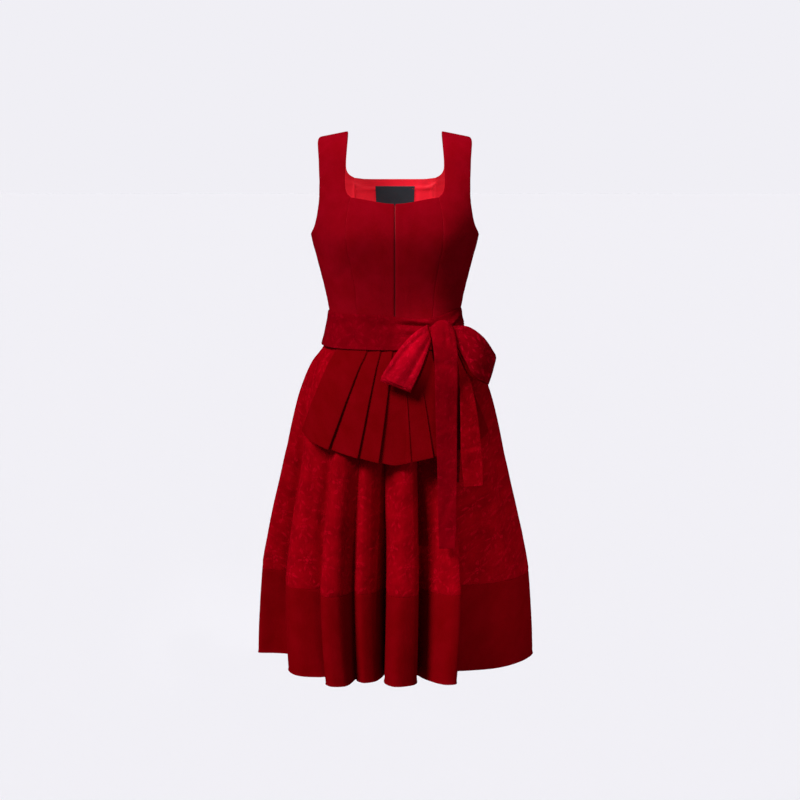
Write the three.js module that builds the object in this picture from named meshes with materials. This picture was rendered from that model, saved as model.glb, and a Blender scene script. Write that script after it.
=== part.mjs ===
// A sleeveless dirndl, worn: a princess-seamed bodice with wide shoulder straps and a hidden front zip, a
// flared brocade skirt with a plain hem band, a short pleated peplum over its front, and a brocade sash
// tied in a bow. Millimetres, +Z up. The front faces -Y. Left and right are those of someone who looks at
// the front: +X is right. The origin lies midway between the tops of the two shoulder straps, where the
// wearer's shoulders carry the dress.

import * as THREE from "three";

// ---- Driving sizes ------------------------------------------------------------------------------

const WAIST_SEAM = -385; // height of the waist seam, under the shoulder line
const HEM = -1052; // height of the hem
const BAND_SEAM = -880; // height of the seam between brocade skirt and plain hem band
const UNDERARM = -203; // height of the top of the side seam
const SEAM_GAP = 0.3; // clear gap between two pieces that are sewn together

const BODICE_CLOTH = 2.0; // thickness of the interlined bodice cloth
const SKIRT_CLOTH = 1.6; // thickness of the brocade and of the hem band
const PEPLUM_CLOTH = 1.5;
const SASH_CLOTH = 1.5;
const LINING_CLOTH = 1.0;

const DEG = Math.PI / 180;

// ---- Tables and curves --------------------------------------------------------------------------

const between = (a, b, t) => a + (b - a) * t;
const steps = (count) => Array.from({ length: count + 1 }, (_, i) => i / count);
const smooth = (t) => {
  const c = Math.min(Math.max(t, 0), 1);
  return c * c * (3 - 2 * c);
};

// The value of one column of a table at a height z, by a smooth curve through its rows. Rows run downwards.
function column(table, name, z) {
  const last = table.length - 1;
  if (z >= table[0].z) return table[0][name];
  if (z <= table[last].z) return table[last][name];
  const k = table.findIndex((row) => row.z < z);
  const [a, b] = [table[k - 1], table[k]];
  const [before, after] = [table[Math.max(k - 2, 0)], table[Math.min(k + 1, last)]];
  const span = b.z - a.z;
  const t = (z - a.z) / span;
  const startSlope = ((b[name] - before[name]) / (b.z - before.z)) * span;
  const endSlope = ((after[name] - a[name]) / (after.z - a.z)) * span;
  const [t2, t3] = [t * t, t * t * t];
  const values = (2 * t3 - 3 * t2 + 1) * a[name] + (3 * t2 - 2 * t3) * b[name];
  return values + (t3 - 2 * t2 + t) * startSlope + (t3 - t2) * endSlope;
}

// The two rows of a list that a share from 0 to 1 falls between, and how far it lies between them.
function placeIn(list, share) {
  const place = Math.min(Math.max(share, 0), 1) * (list.length - 1);
  const k = Math.min(Math.floor(place), list.length - 2);
  return [list[k], list[k + 1], place - k];
}

// ---- Walls --------------------------------------------------------------------------------------

// A closed wall from rows of { point, out }: the points are its outer face, and its inner face lies a
// cloth's thickness behind them, against the direction out.
function clothWall(grid, thickness) {
  const rows = grid.length;
  const cols = grid[0].length;
  const positions = [];
  for (const depth of [0, thickness])
    for (const row of grid)
      for (const { point, out } of row)
        positions.push(point.x - out.x * depth, point.y - out.y * depth, point.z - out.z * depth);
  const faces = [];
  const quad = (a, b, c, d) => faces.push(a, b, c, a, c, d);
  const outer = (r, c) => r * cols + c;
  const inner = (r, c) => rows * cols + r * cols + c;
  for (let r = 0; r < rows - 1; r++)
    for (let c = 0; c < cols - 1; c++) {
      quad(outer(r, c), outer(r, c + 1), outer(r + 1, c + 1), outer(r + 1, c));
      faces.push(inner(r, c), inner(r + 1, c + 1), inner(r, c + 1));
      faces.push(inner(r, c), inner(r + 1, c), inner(r + 1, c + 1));
    }
  for (let c = 0; c < cols - 1; c++) {
    quad(outer(0, c), inner(0, c), inner(0, c + 1), outer(0, c + 1));
    quad(outer(rows - 1, c), outer(rows - 1, c + 1), inner(rows - 1, c + 1), inner(rows - 1, c));
  }
  for (let r = 0; r < rows - 1; r++) {
    quad(outer(r, 0), outer(r + 1, 0), inner(r + 1, 0), inner(r, 0));
    quad(outer(r, cols - 1), inner(r, cols - 1), inner(r + 1, cols - 1), outer(r + 1, cols - 1));
  }
  return solid(positions, faces);
}

// A geometry from its corners and triangles, turned so that its faces point out.
function solid(positions, faces) {
  const at = (i) => new THREE.Vector3().fromArray(positions, i * 3);
  let volume = 0;
  for (let i = 0; i < faces.length; i += 3)
    volume += at(faces[i]).dot(at(faces[i + 1]).cross(at(faces[i + 2])));
  if (volume < 0) faces.reverse();
  const geometry = new THREE.BufferGeometry();
  geometry.setAttribute("position", new THREE.Float32BufferAttribute(positions, 3));
  geometry.setIndex(faces);
  geometry.computeVertexNormals();
  return geometry;
}

// Gives each point of a plain grid its direction out, from its neighbours. Points run anticlockwise seen
// from above, and rows run downwards; a ring's last point comes before its first.
function withNormals(grid, isRing = false) {
  return grid.map((row, r) =>
    row.map((point, c) => {
      const [above, below] = [grid[Math.max(r - 1, 0)], grid[Math.min(r + 1, grid.length - 1)]];
      const count = row.length;
      const before = isRing ? row[(c - 1 + count) % count] : row[Math.max(c - 1, 0)];
      const after = isRing ? row[(c + 1) % count] : row[Math.min(c + 1, count - 1)];
      const down = below[c].clone().sub(above[c]);
      return { point, out: down.cross(after.clone().sub(before)).normalize() };
    }),
  );
}

// ---- Cloths -------------------------------------------------------------------------------------

function cloth(name, color, roughness) {
  return new THREE.MeshStandardMaterial({ name, color, roughness, metalness: 0 });
}
const CREPE = cloth("red_crepe", 0x7d0610, 0.85);
const BROCADE = cloth("red_brocade", 0xa00618, 0.6);
const LINING = cloth("coral_lining", 0xe01c2a, 0.45);
const LABEL = cloth("charcoal_label", 0x1b1c20, 0.7);
const TAPE = cloth("zip_tape", 0x6a0a12, 0.8);

const dirndl = new THREE.Group();
function add(name, geometry, material) {
  const mesh = new THREE.Mesh(geometry, material);
  mesh.name = name;
  dirndl.add(mesh);
}

// ---- Bodice: the fitted shape -------------------------------------------------------------------

// Outer size of the bodice: half its width, and how far it stands in front of and behind the middle.
const TORSO = [
  { z: 0, half: 186, front: 66, back: 66 },
  { z: -60, half: 187, front: 70, back: 84 },
  { z: -100, half: 184, front: 81, back: 98 },
  { z: -141, half: 177, front: 95, back: 107 },
  { z: -175, half: 169.5, front: 106, back: 109 },
  { z: UNDERARM, half: 165.5, front: 112, back: 106 },
  { z: -247, half: 154.3, front: 108, back: 97 },
  { z: -292, half: 142.7, front: 100, back: 89 },
  { z: -332, half: 133.8, front: 95, back: 84 },
  { z: -356, half: 130.4, front: 94, back: 84 },
  { z: WAIST_SEAM, half: 134, front: 97, back: 88 },
];
const TORSO_SQUARENESS = 0.1; // how far the section fills out between front and side
const ARCH = 60; // the straps turn over the shoulder within this height
const SHOULDER_SLOPE = 0.2; // drop of the shoulder line for each mm outwards
const SLOPE_FROM = 92; // distance from the middle where that drop starts
const SLOPE_FADE = 120; // height over which it fades out
const BUST = { angle: 36 * DEG, spread: 21 * DEG, z: -207, height: 46, fullness: 12 };

// Path length under the shoulder line for a height z, and back: the strap's arch counts by its length.
const ARCH_LENGTH = (ARCH * Math.PI) / 2;
const arcOf = (z) => (z > -ARCH ? Math.acos(1 + z / ARCH) * ARCH : ARCH_LENGTH - ARCH - z);
const heightOf = (arc) => (arc < ARCH_LENGTH ? -ARCH * (1 - Math.cos(arc / ARCH)) : ARCH_LENGTH - ARCH - arc);

// How far a section reaches sideways and forwards, for one that is squarer than an ellipse.
function sectionPoint(angle, half, depth, squareness) {
  const [sin, cos] = [Math.sin(angle), Math.cos(angle)];
  const x = half * sin * (1 + squareness * cos * cos);
  return [x, -depth * cos * (1 + squareness * sin * sin)];
}

// A point of the bodice's outer face. Angle 0 is the front middle, a quarter turn the right side, half a
// turn the back middle.
function torso(angle, arc) {
  const z = heightOf(arc);
  const turn = Math.sin(Math.min(arc / ARCH, Math.PI / 2));
  const depth = column(TORSO, Math.cos(angle) > 0 ? "front" : "back", z) * turn;
  const [x, y] = sectionPoint(angle, column(TORSO, "half", z), depth, TORSO_SQUARENESS);
  const lobe = (side) =>
    Math.exp(-(((angle - side * BUST.angle) / BUST.spread) ** 2) - ((z - BUST.z) / BUST.height) ** 2);
  const bust = BUST.fullness * (lobe(1) + lobe(-1)) * Math.cos(angle);
  const drop = SHOULDER_SLOPE * Math.max(0, Math.abs(x) - SLOPE_FROM) * smooth(1 + z / SLOPE_FADE);
  return new THREE.Vector3(x, y - bust, z - drop);
}

// The direction straight out of the bodice at that point.
function torsoOut(angle, arc) {
  const [turn, drop] = [1e-3, 0.1];
  const around = torso(angle + turn, arc).sub(torso(angle - turn, arc));
  const down = torso(angle, arc + drop).sub(torso(angle, arc - drop));
  return down.cross(around).normalize();
}

// The bodice's points for a map from shares (u, v) to an angle and a path length, moved in by an inset.
function bodiceGrid(us, vs, map, inset = 0) {
  return vs.map((v) =>
    us.map((u) => {
      const [angle, arc] = map(u, v);
      const out = torsoOut(angle, arc);
      return { point: torso(angle, arc).addScaledVector(out, -inset), out };
    }),
  );
}

// The angle at which the bodice reaches a distance x from the middle. Past its side, a quarter turn.
function angleAt(x, z) {
  const half = column(TORSO, "half", z);
  let [low, high] = [0, Math.PI / 2];
  for (let i = 0; i < 40; i++) {
    const middle = (low + high) / 2;
    if (sectionPoint(middle, half, 0, TORSO_SQUARENESS)[0] < x) low = middle;
    else high = middle;
  }
  return low;
}

// ---- Bodice: the panels -------------------------------------------------------------------------

// The two edges of a side panel, from waist to shoulder: inX and in are the distance from the middle and
// the height of the princess seam, then of the neckline's corner and the strap; outX and out are those of
// the side seam (SIDE puts them on it), then of the armhole.
const SIDE = 400;
const FRONT_SIDE = [
  { inX: 72, in: WAIST_SEAM, outX: SIDE, out: WAIST_SEAM },
  { inX: 74, in: -350, outX: SIDE, out: -350 },
  { inX: 77, in: -308, outX: SIDE, out: -306 },
  { inX: 84, in: -262, outX: SIDE, out: -264 },
  { inX: 91, in: -230, outX: SIDE, out: -232 },
  { inX: 94, in: -202, outX: SIDE, out: UNDERARM },
  { inX: 93.5, in: -175, outX: 161.5, out: -192 },
  { inX: 90, in: -148, outX: 154.5, out: -172 },
  { inX: 85, in: -126, outX: 150, out: -150 },
  { inX: 92.5, in: -118, outX: 147.5, out: -130 },
  { inX: 96, in: -106, outX: 147, out: -112 },
  { inX: 96.5, in: -84, outX: 147, out: -88 },
  { inX: 95.5, in: -52, outX: 148, out: -52 },
  { inX: 94, in: -27, outX: 149.5, out: -27 },
  { inX: 93, in: -8, outX: 151, out: -8 },
  { inX: 92, in: 0, outX: 152, out: 0 },
];
const BACK_SIDE = [
  { inX: 56, in: WAIST_SEAM, outX: SIDE, out: WAIST_SEAM },
  { inX: 57, in: -350, outX: SIDE, out: -350 },
  { inX: 61, in: -306, outX: SIDE, out: -306 },
  { inX: 67, in: -260, outX: SIDE, out: -264 },
  { inX: 73, in: -220, outX: SIDE, out: -232 },
  { inX: 78, in: -185, outX: SIDE, out: UNDERARM },
  { inX: 81, in: -150, outX: 162, out: -190 },
  { inX: 82, in: -120, outX: 156, out: -166 },
  { inX: 82, in: -92.5, outX: 152, out: -138 },
  { inX: 92, in: -86, outX: 150, out: -112 },
  { inX: 98, in: -75, outX: 149.5, out: -88 },
  { inX: 98.5, in: -58, outX: 149, out: -64 },
  { inX: 97, in: -40, outX: 149, out: -42 },
  { inX: 95, in: -22, outX: 150, out: -22 },
  { inX: 93, in: -7, outX: 151, out: -7 },
  { inX: 92, in: 0, outX: 152, out: 0 },
];
const SEAM_ROWS = 9; // the first rows of each table are the princess seam
const SIDE_COLUMNS = 7;
const MIDDLE_COLUMNS = 5;
const SEAM_SHIFT = (SEAM_GAP * 0.6) / 110; // half the gap at a princess seam, as an angle round the bodice

// One edge of a side panel at a share of its length: the angle, and the path length under the shoulder.
function edgeAt(table, x, z, share) {
  const [a, b, t] = placeIn(table, share);
  const angle = between(angleAt(a[x], a[z]), angleAt(b[x], b[z]), t);
  return [angle, between(arcOf(a[z]), arcOf(b[z]), t)];
}

// Front panels are counted from the front middle, back panels from the back middle; hand is 1 right, -1
// left.
const turned = (angle, isFront, hand) => hand * (isFront ? angle : Math.PI - angle);

function sidePanel(table, isFront, hand, inset = 0) {
  const map = (u, v) => {
    const [innerAngle, innerArc] = edgeAt(table, "inX", "in", v);
    const [outerAngle, outerArc] = edgeAt(table, "outX", "out", v);
    const angle = between(innerAngle + SEAM_SHIFT, outerAngle, u);
    return [turned(angle, isFront, hand), between(innerArc, outerArc, u)];
  };
  const grid = bodiceGrid(steps(SIDE_COLUMNS), steps(table.length - 1), map, inset);
  // Front and back panels stop half a seam gap short of the side seams and of the shoulder seams.
  for (const { point } of grid.flat())
    point.y = isFront ? Math.min(point.y, -SEAM_GAP / 2) : Math.max(point.y, SEAM_GAP / 2);
  return grid;
}

// The top edges of the middle panels, in even steps from the middle to the princess seam.
const OPENING = 1.2; // half the gap at the front opening
const FRONT_NECK = [{ z: -138 }, { z: -136.4 }, { z: -132.6 }, { z: -129 }, { z: -126 }];
const BACK_NECK = [{ z: -95.5 }, { z: -95.5 }, { z: -95.5 }, { z: -95 }, { z: -92.5 }];

// A panel beside the middle line, as far as the princess seam. Its rows meet the seam where the side
// panel's do.
function middlePanel(table, neck, start, isFront, hand, inset = 0) {
  const seam = table.slice(0, SEAM_ROWS);
  const map = (u, v) => {
    const [below, above, t] = placeIn(seam, v);
    const rise = (between(below.in, above.in, t) - WAIST_SEAM) / (seam[SEAM_ROWS - 1].in - WAIST_SEAM);
    const [left, right, s] = placeIn(neck, u);
    const z = between(WAIST_SEAM, between(left.z, right.z, s), rise);
    const [seamAngle] = edgeAt(table, "inX", "in", (v * (SEAM_ROWS - 1)) / (table.length - 1));
    const angle = between(start / column(TORSO, "half", z), seamAngle - SEAM_SHIFT, u);
    return [turned(angle, isFront, hand), arcOf(z)];
  };
  return bodiceGrid(steps(MIDDLE_COLUMNS), steps(SEAM_ROWS - 1), map, inset);
}

// The back's middle panel is one piece: its right half, and the same half mirrored.
function backMiddle(inset = 0) {
  const half = middlePanel(BACK_SIDE, BACK_NECK, 0, false, 1, inset);
  const mirrored = ({ point, out }) => ({
    point: new THREE.Vector3(-point.x, point.y, point.z),
    out: new THREE.Vector3(-out.x, out.y, out.z),
  });
  return half.map((row) => [...row.slice(1).reverse().map(mirrored), ...row]);
}

const HANDS = [["left", -1], ["right", 1]];
for (const [side, hand] of HANDS) {
  const middle = middlePanel(FRONT_SIDE, FRONT_NECK, OPENING, true, hand);
  add(`bodice_front_middle_${side}`, clothWall(middle, BODICE_CLOTH), CREPE);
  add(`bodice_front_side_${side}`, clothWall(sidePanel(FRONT_SIDE, true, hand), BODICE_CLOTH), CREPE);
  add(`bodice_back_side_${side}`, clothWall(sidePanel(BACK_SIDE, false, hand), BODICE_CLOTH), CREPE);
}
add("bodice_back_middle", clothWall(backMiddle(), BODICE_CLOTH), CREPE);

// ---- Lining, label and zip tape -----------------------------------------------------------------

const LINING_INSET = BODICE_CLOTH + SEAM_GAP;
for (const [side, hand] of HANDS) {
  const panel = sidePanel(BACK_SIDE, false, hand, LINING_INSET);
  add(`lining_back_side_${side}`, clothWall(panel, LINING_CLOTH), LINING);
}
add("lining_back_middle", clothWall(backMiddle(LINING_INSET), LINING_CLOTH), LINING);

// A strip that lies inside the bodice round an angle, with a row of points at each height.
function insideStrip(angle, halfAngle, heights, inset, across) {
  const map = (u, v) => {
    const [a, b, t] = placeIn(heights, v);
    return [angle + (2 * u - 1) * halfAngle, arcOf(between(a, b, t))];
  };
  return bodiceGrid(steps(across), steps(heights.length - 1), map, inset);
}

// The label clears the lining's flat facets too, which lie a little inside its curve.
const LABEL_SIZE = { halfAngle: 11.5 * DEG, heights: [-149, -136, -122, -109], thickness: 0.8, clearance: 1 };
const labelInset = LINING_INSET + LINING_CLOTH + LABEL_SIZE.clearance;
const labelGrid = insideStrip(Math.PI, LABEL_SIZE.halfAngle, LABEL_SIZE.heights, labelInset, 6);
add("neck_label", clothWall(labelGrid, LABEL_SIZE.thickness), LABEL);

// The tape's rows lie at the heights of the front panels' rows, and it ends just inside the neckline and
// the waist.
const ZIP = { halfAngle: 4.6 * DEG, short: 3, thickness: 0.9, clearance: 1 };
const zipHeights = FRONT_SIDE.slice(0, SEAM_ROWS).map((row) => {
  const rise = (row.in - WAIST_SEAM) / (FRONT_SIDE[SEAM_ROWS - 1].in - WAIST_SEAM);
  return between(WAIST_SEAM + ZIP.short, FRONT_NECK[0].z - ZIP.short, rise);
});
const zipGrid = insideStrip(0, ZIP.halfAngle, zipHeights, BODICE_CLOTH + ZIP.clearance, 4);
add("zip_tape", clothWall(zipGrid, ZIP.thickness), TAPE);

// ---- Skirt and hem band -------------------------------------------------------------------------

// The skirt's section before it falls into folds, how far its folds have grown (0 at the waist, 1 at the
// hem), and its squareness, which is the bodice's at the waist.
const SKIRT = [
  { z: WAIST_SEAM, half: 134, front: 97, back: 88, grow: 0, square: TORSO_SQUARENESS },
  { z: -421, half: 142, front: 112, back: 103, grow: 0.06, square: 0.08 },
  { z: -456, half: 167, front: 125, back: 117, grow: 0.15, square: 0.06 },
  { z: -512, half: 190, front: 134, back: 129, grow: 0.28, square: 0.04 },
  { z: -573, half: 206, front: 139, back: 136, grow: 0.4, square: 0.02 },
  { z: -634, half: 219, front: 142, back: 141, grow: 0.52, square: 0 },
  { z: -695, half: 232, front: 144.5, back: 144, grow: 0.63, square: 0 },
  { z: -756, half: 246, front: 147, back: 147, grow: 0.74, square: 0 },
  { z: -818, half: 259, front: 148.5, back: 148.5, grow: 0.83, square: 0 },
  { z: -872, half: 269, front: 149.5, back: 149.5, grow: 0.9, square: 0 },
  { z: -984, half: 277.5, front: 150, back: 150, grow: 0.98, square: 0 },
  { z: HEM, half: 280, front: 150, back: 150, grow: 1, square: 0 },
];

// The folds at the hem, from the left side round the front to the right side, and on round the back. Each
// has a near edge, a crest, a far edge and the valley after it, as [angle, reach]: the angle in degrees
// from the front middle, and the reach as a distance from the middle, where 1 lies on the unfolded
// section. An edge may hang over the valley beside it. hangs is the angle at the waist where the fold's
// cloth starts.
const FOLDS = [
  { fold: "A", hangs: -90, near: [-90, 0.99], crest: [-89, 0.87], far: [-84, 0.76], valley: [-68, 0.75] },
  { fold: "B", hangs: -60, near: [-42, 1.12], crest: [-31, 1.29], far: [-24.5, 1.27], valley: [-20.8, 1.2] },
  { fold: "C", hangs: -31, near: [-17.8, 1.55], crest: [-14.9, 1.64], far: [-12.3, 1.6], valley: [-12.2, 1.27] },
  { fold: "D", hangs: -17, near: [-10.7, 1.37], crest: [-8.5, 1.43], far: [-5.8, 1.36], valley: [-3.6, 1.0] },
  { fold: "E", hangs: 0, near: [-2.7, 1.45], crest: [0.5, 1.57], far: [5.2, 1.53], valley: [8, 1.2] },
  { fold: "F", hangs: 20, near: [8.6, 1.44], crest: [12, 1.57], far: [15.9, 1.55], valley: [21.5, 1.0] },
  { fold: "G", hangs: 40, near: [28, 0.99], crest: [43, 1.03], far: [62, 1.0], valley: [89, 1.0] },
  { fold: "H", hangs: 90, near: [106, 1.0], crest: [120, 1.08], far: [134, 1.12], valley: [145, 0.97] },
  { fold: "I", hangs: 120, near: [145.5, 1.3], crest: [151, 1.44], far: [156, 1.4], valley: [160.5, 1.06] },
  { fold: "J", hangs: 147, near: [161.5, 1.42], crest: [166.5, 1.55], far: [171, 1.49], valley: [174.5, 1.12] },
  { fold: "K", hangs: 173, near: [175, 1.47], crest: [180.5, 1.58], far: [185.5, 1.51], valley: [189.5, 1.05] },
  { fold: "L", hangs: 201, near: [190.5, 1.41], crest: [195.5, 1.53], far: [200.5, 1.46], valley: [206, 1.0] },
  { fold: "M", hangs: 229, near: [207, 1.28], crest: [214, 1.37], far: [222, 1.26], valley: [230, 0.92] },
  { fold: "N", hangs: 257, near: [238, 1.05], crest: [248, 1.07], far: [258, 1.0], valley: [264, 0.99] },
];
const WAIST_END = 270; // the last fold ends at the left side seam
const FOLD_PARTS = ["near", "crest", "far", "valley"];
const SPAN_STEPS = 2; // wall columns between one turn of the hem and the next
const FRONT_FOLDS = 7; // folds A to G are the front piece
const SETTLE_POWER = 0.8; // how soon the folds leave their even spread at the waist
const SKIRT_TOP = WAIST_SEAM - SEAM_GAP;
const SKIRT_ROWS = [SKIRT_TOP, -421, -460, -505, -555, -610, -670, -735, -805, BAND_SEAM + SEAM_GAP / 2];
const BAND_ROWS = [BAND_SEAM - SEAM_GAP / 2, -935, -995, HEM];

const foldColumns = FOLD_PARTS.length * SPAN_STEPS;
// The column of the wall that lies on the right side seam; column 0 lies on the left one.
const sideSeam = FRONT_FOLDS * foldColumns;

// The hem as a smooth closed line: for each column its angle, its reach, and where it hangs from at the
// waist, which shares out each fold's cloth evenly between its start and the next one's.
function hemLine() {
  const turns = FOLDS.flatMap((row) => FOLD_PARTS.map((part) => row[part]));
  const corners = turns.map(([degrees, reach]) => {
    const angle = degrees * DEG;
    return new THREE.Vector3(reach * Math.sin(angle), reach * Math.cos(angle), 0);
  });
  const line = new THREE.CatmullRomCurve3(corners, true, "centripetal");
  const count = corners.length * SPAN_STEPS;
  const hem = SKIRT[SKIRT.length - 1];
  const placed = Array.from({ length: count + 1 }, (_, i) => line.getPoint((i % count) / count));
  const lengths = [0];
  for (let i = 1; i <= count; i++) {
    const step = placed[i].clone().sub(placed[i - 1]);
    lengths.push(lengths[i - 1] + Math.hypot(step.x * hem.half, step.y * hem.front));
  }
  return placed.slice(0, count).map((p, i) => {
    let angle = Math.atan2(p.x, p.y);
    if (i > sideSeam && angle < 0) angle += 2 * Math.PI;
    const k = Math.floor(i / foldColumns);
    const [start, end] = [lengths[k * foldColumns], lengths[(k + 1) * foldColumns]];
    const hangs = between(FOLDS[k].hangs, FOLDS[k + 1]?.hangs ?? WAIST_END, (lengths[i] - start) / (end - start));
    return { angle, reach: p.length(), waistAngle: hangs * DEG };
  });
}

// A point of the skirt's outer face.
function skirtPoint({ angle, reach, waistAngle }, z) {
  const settled = Math.max(0, (z - WAIST_SEAM) / (HEM - WAIST_SEAM)) ** SETTLE_POWER;
  const turn = between(waistAngle, angle, settled);
  const out = 1 + (reach - 1) * column(SKIRT, "grow", z);
  const depth = column(SKIRT, Math.cos(turn) > 0 ? "front" : "back", z);
  const [x, y] = sectionPoint(turn, column(SKIRT, "half", z), depth, column(SKIRT, "square", z));
  return new THREE.Vector3(x * out, y * out, z);
}

const hem = hemLine();
const skirtPoints = [...SKIRT_ROWS, ...BAND_ROWS].map((z) => hem.map((place) => skirtPoint(place, z)));
const skirtGrid = withNormals(skirtPoints, true);

// Columns from one side seam to the other, both ends moved half a seam gap in.
function seamed(row, first, last) {
  const taken = Array.from({ length: last - first + 1 }, (_, i) => row[(first + i) % row.length]);
  const cut = taken.map(({ point, out }) => ({ point: point.clone(), out }));
  const pull = (end, next) => {
    const along = next.point.clone().sub(end.point);
    end.point.addScaledVector(along, SEAM_GAP / 2 / along.length());
  };
  pull(cut[0], cut[1]);
  pull(cut[cut.length - 1], cut[cut.length - 2]);
  return cut;
}

for (const [half, first, last] of [["front", 0, sideSeam], ["back", sideSeam, hem.length]]) {
  const piece = skirtGrid.map((row) => seamed(row, first, last));
  add(`skirt_${half}`, clothWall(piece.slice(0, SKIRT_ROWS.length), SKIRT_CLOTH), BROCADE);
  add(`hem_band_${half}`, clothWall(piece.slice(SKIRT_ROWS.length), SKIRT_CLOTH), CREPE);
}

// ---- Peplum -------------------------------------------------------------------------------------

// The folded edge of each pleat, left to right: its angle at the waist and at the lower edge. Each
// pleat's right edge lies over the start of the next one. The first row is the panel's left end, the last
// its right end.
const PLEATS = [
  { top: -52, low: -49 },
  { top: -18.2, low: -25.8 },
  { top: -9.2, low: -13.4 },
  { top: -1, low: -5.6 },
  { top: 5.5, low: 6.3 },
  { top: 13, low: 14.6 },
  { top: 24, low: 28 },
  { top: 52, low: 49 },
];
const PEPLUM_REACH = { fullness: 0.7, width: 50 * DEG }; // it lies over the crests of the front folds
const PEPLUM_GAP = { top: 0.5, low: 4 }; // how far it stays clear of the skirt's crests
const PEPLUM_LENGTH = { middle: 245, endRise: 68, endAngle: 62 * DEG, power: 1.05 };
const PLEAT_RISE = { top: 2.2, low: 10 }; // how far a folded edge stands over the pleat beside it
const PLEAT_LAP = { top: -1.2, low: 2.2 }; // degrees by which it covers that pleat
const PEPLUM_ROWS = 7;

// A point over the front of the skirt, by angle, height and distance outwards.
function overSkirt(angle, z, away) {
  const crests = PEPLUM_REACH.fullness * Math.exp(-((angle / PEPLUM_REACH.width) ** 4));
  const reach = 1 + crests * column(SKIRT, "grow", z);
  const half = column(SKIRT, "half", z) * reach + away;
  const depth = column(SKIRT, "front", z) * reach + away;
  const [x, y] = sectionPoint(angle, half, depth, column(SKIRT, "square", z));
  return new THREE.Vector3(x, y, z);
}

// The turns of the pleated line at a share v of the peplum's length: angle in degrees, and rise over the
// skirt.
function pleatLine(v) {
  const edges = PLEATS.map((row) => between(row.top, row.low, v));
  const rise = between(PLEAT_RISE.top, PLEAT_RISE.low, v);
  const lap = between(PLEAT_LAP.top, PLEAT_LAP.low, v);
  const line = [{ angle: edges[0], rise: rise * 0.3 }];
  for (let i = 1; i < edges.length; i++) {
    const [start, edge] = [edges[i - 1], edges[i]];
    line.push({ angle: between(start, edge, 0.35), rise: rise * 0.45 });
    line.push({ angle: between(start, edge, 0.7), rise: rise * 0.75 });
    if (i === edges.length - 1) line.push({ angle: edge, rise: rise * 0.6 });
    else {
      line.push({ angle: edge - 0.15, rise });
      line.push({ angle: edge, rise: rise * 0.75 });
      line.push({ angle: edge - lap, rise: rise * 0.28 });
      line.push({ angle: edge - lap + 0.15, rise: 0 });
    }
  }
  return line;
}

const peplumGrid = steps(PEPLUM_ROWS).map((v) =>
  pleatLine(v).map(({ angle, rise }) => {
    const ends = Math.min(Math.abs(angle * DEG) / PEPLUM_LENGTH.endAngle, 1) ** PEPLUM_LENGTH.power;
    const z = WAIST_SEAM - SEAM_GAP - v * (PEPLUM_LENGTH.middle - PEPLUM_LENGTH.endRise * ends);
    return overSkirt(angle * DEG, z, between(PEPLUM_GAP.top, PEPLUM_GAP.low, v) + PEPLUM_CLOTH + rise);
  }),
);
add("peplum", clothWall(withNormals(peplumGrid), PEPLUM_CLOTH), CREPE);

// ---- Sash ---------------------------------------------------------------------------------------

// The band's outer face: tight at the top, standing off over the skirt and peplum at its lower edge.
const BAND = [
  { z: -352, half: 133, front: 98, back: 87.5 },
  { z: -368, half: 135, front: 101, back: 89.5 },
  { z: WAIST_SEAM, half: 138.5, front: 107, back: 93.5 },
  { z: -403, half: 142.5, front: 116, back: 101 },
  { z: -418, half: 147, front: 124.4, back: 108.5 },
];
const BAND_STEPS = 22;

for (const [half, start] of [["front", -90], ["back", 90]]) {
  const gap = SEAM_GAP / 2 / BAND[0].half;
  const grid = BAND.map(({ z, half: wide, front, back }) =>
    steps(BAND_STEPS).map((u) => {
      const angle = between(start * DEG + gap, (start + 180) * DEG - gap, u);
      const [x, y] = sectionPoint(angle, wide, half === "front" ? front : back, TORSO_SQUARENESS);
      return new THREE.Vector3(x, y, z);
    }),
  );
  add(`sash_band_${half}`, clothWall(withNormals(grid), SASH_CLOTH), BROCADE);
}

// The knot: a rounded lump on the band, right of the middle.
const KNOT = { x: 91, z: -386, depth: 108.4, halfWidth: 23, halfHeight: 24, halfDepth: 14.6, turn: 26 * DEG };
const knot = new THREE.SphereGeometry(1, 18, 12);
knot.scale(KNOT.halfWidth, KNOT.halfDepth, KNOT.halfHeight);
knot.rotateZ(KNOT.turn);
knot.translate(KNOT.x, -KNOT.depth, KNOT.z);
add("sash_knot", knot, BROCADE);

// A bow's loop: sections from the knot to the tip. x, depth and z are the middle of the ribbon; upX and
// upZ reach from there to its upper edge; gap is the space between its two layers. The ribbon goes out
// along the back layer, round the tip, and returns along the front layer.
const LOOPS = {
  left: {
    facing: new THREE.Vector3(-0.15, -0.98, 0.12).normalize(),
    rows: [
      { x: 66.6, depth: 112, z: -384, upX: -4, upZ: 14, gap: 6 },
      { x: 52, depth: 132, z: -401, upX: -11, upZ: 20, gap: 17 },
      { x: 31, depth: 154, z: -431, upX: -20, upZ: 21, gap: 24 },
      { x: 6.5, depth: 173, z: -471, upX: -28, upZ: 13.5, gap: 18 },
    ],
    tip: { x: 1.5, depth: 177, z: -482, upX: -29, upZ: 11 },
  },
  right: {
    facing: new THREE.Vector3(0.35, -0.93, 0.1).normalize(),
    rows: [
      { x: 113.5, depth: 109, z: -387, upX: 0, upZ: 15, gap: 6 },
      { x: 134, depth: 124, z: -401, upX: 5, upZ: 29, gap: 17 },
      { x: 157, depth: 130, z: -428, upX: 10, upZ: 36, gap: 24 },
      { x: 181, depth: 122, z: -452, upX: 8, upZ: 29, gap: 19 },
    ],
    tip: { x: 188, depth: 118, z: -460, upX: 7, upZ: 25 },
  },
};
const RIBBON_STEPS = 4;
const LOOP_CROWN = 0.15; // how far the ribbon's edges close in on each other
const TIP_TURNS = [60, 30, 0, -30, -60]; // the ribbon's way round the tip, in degrees from straight ahead

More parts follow.
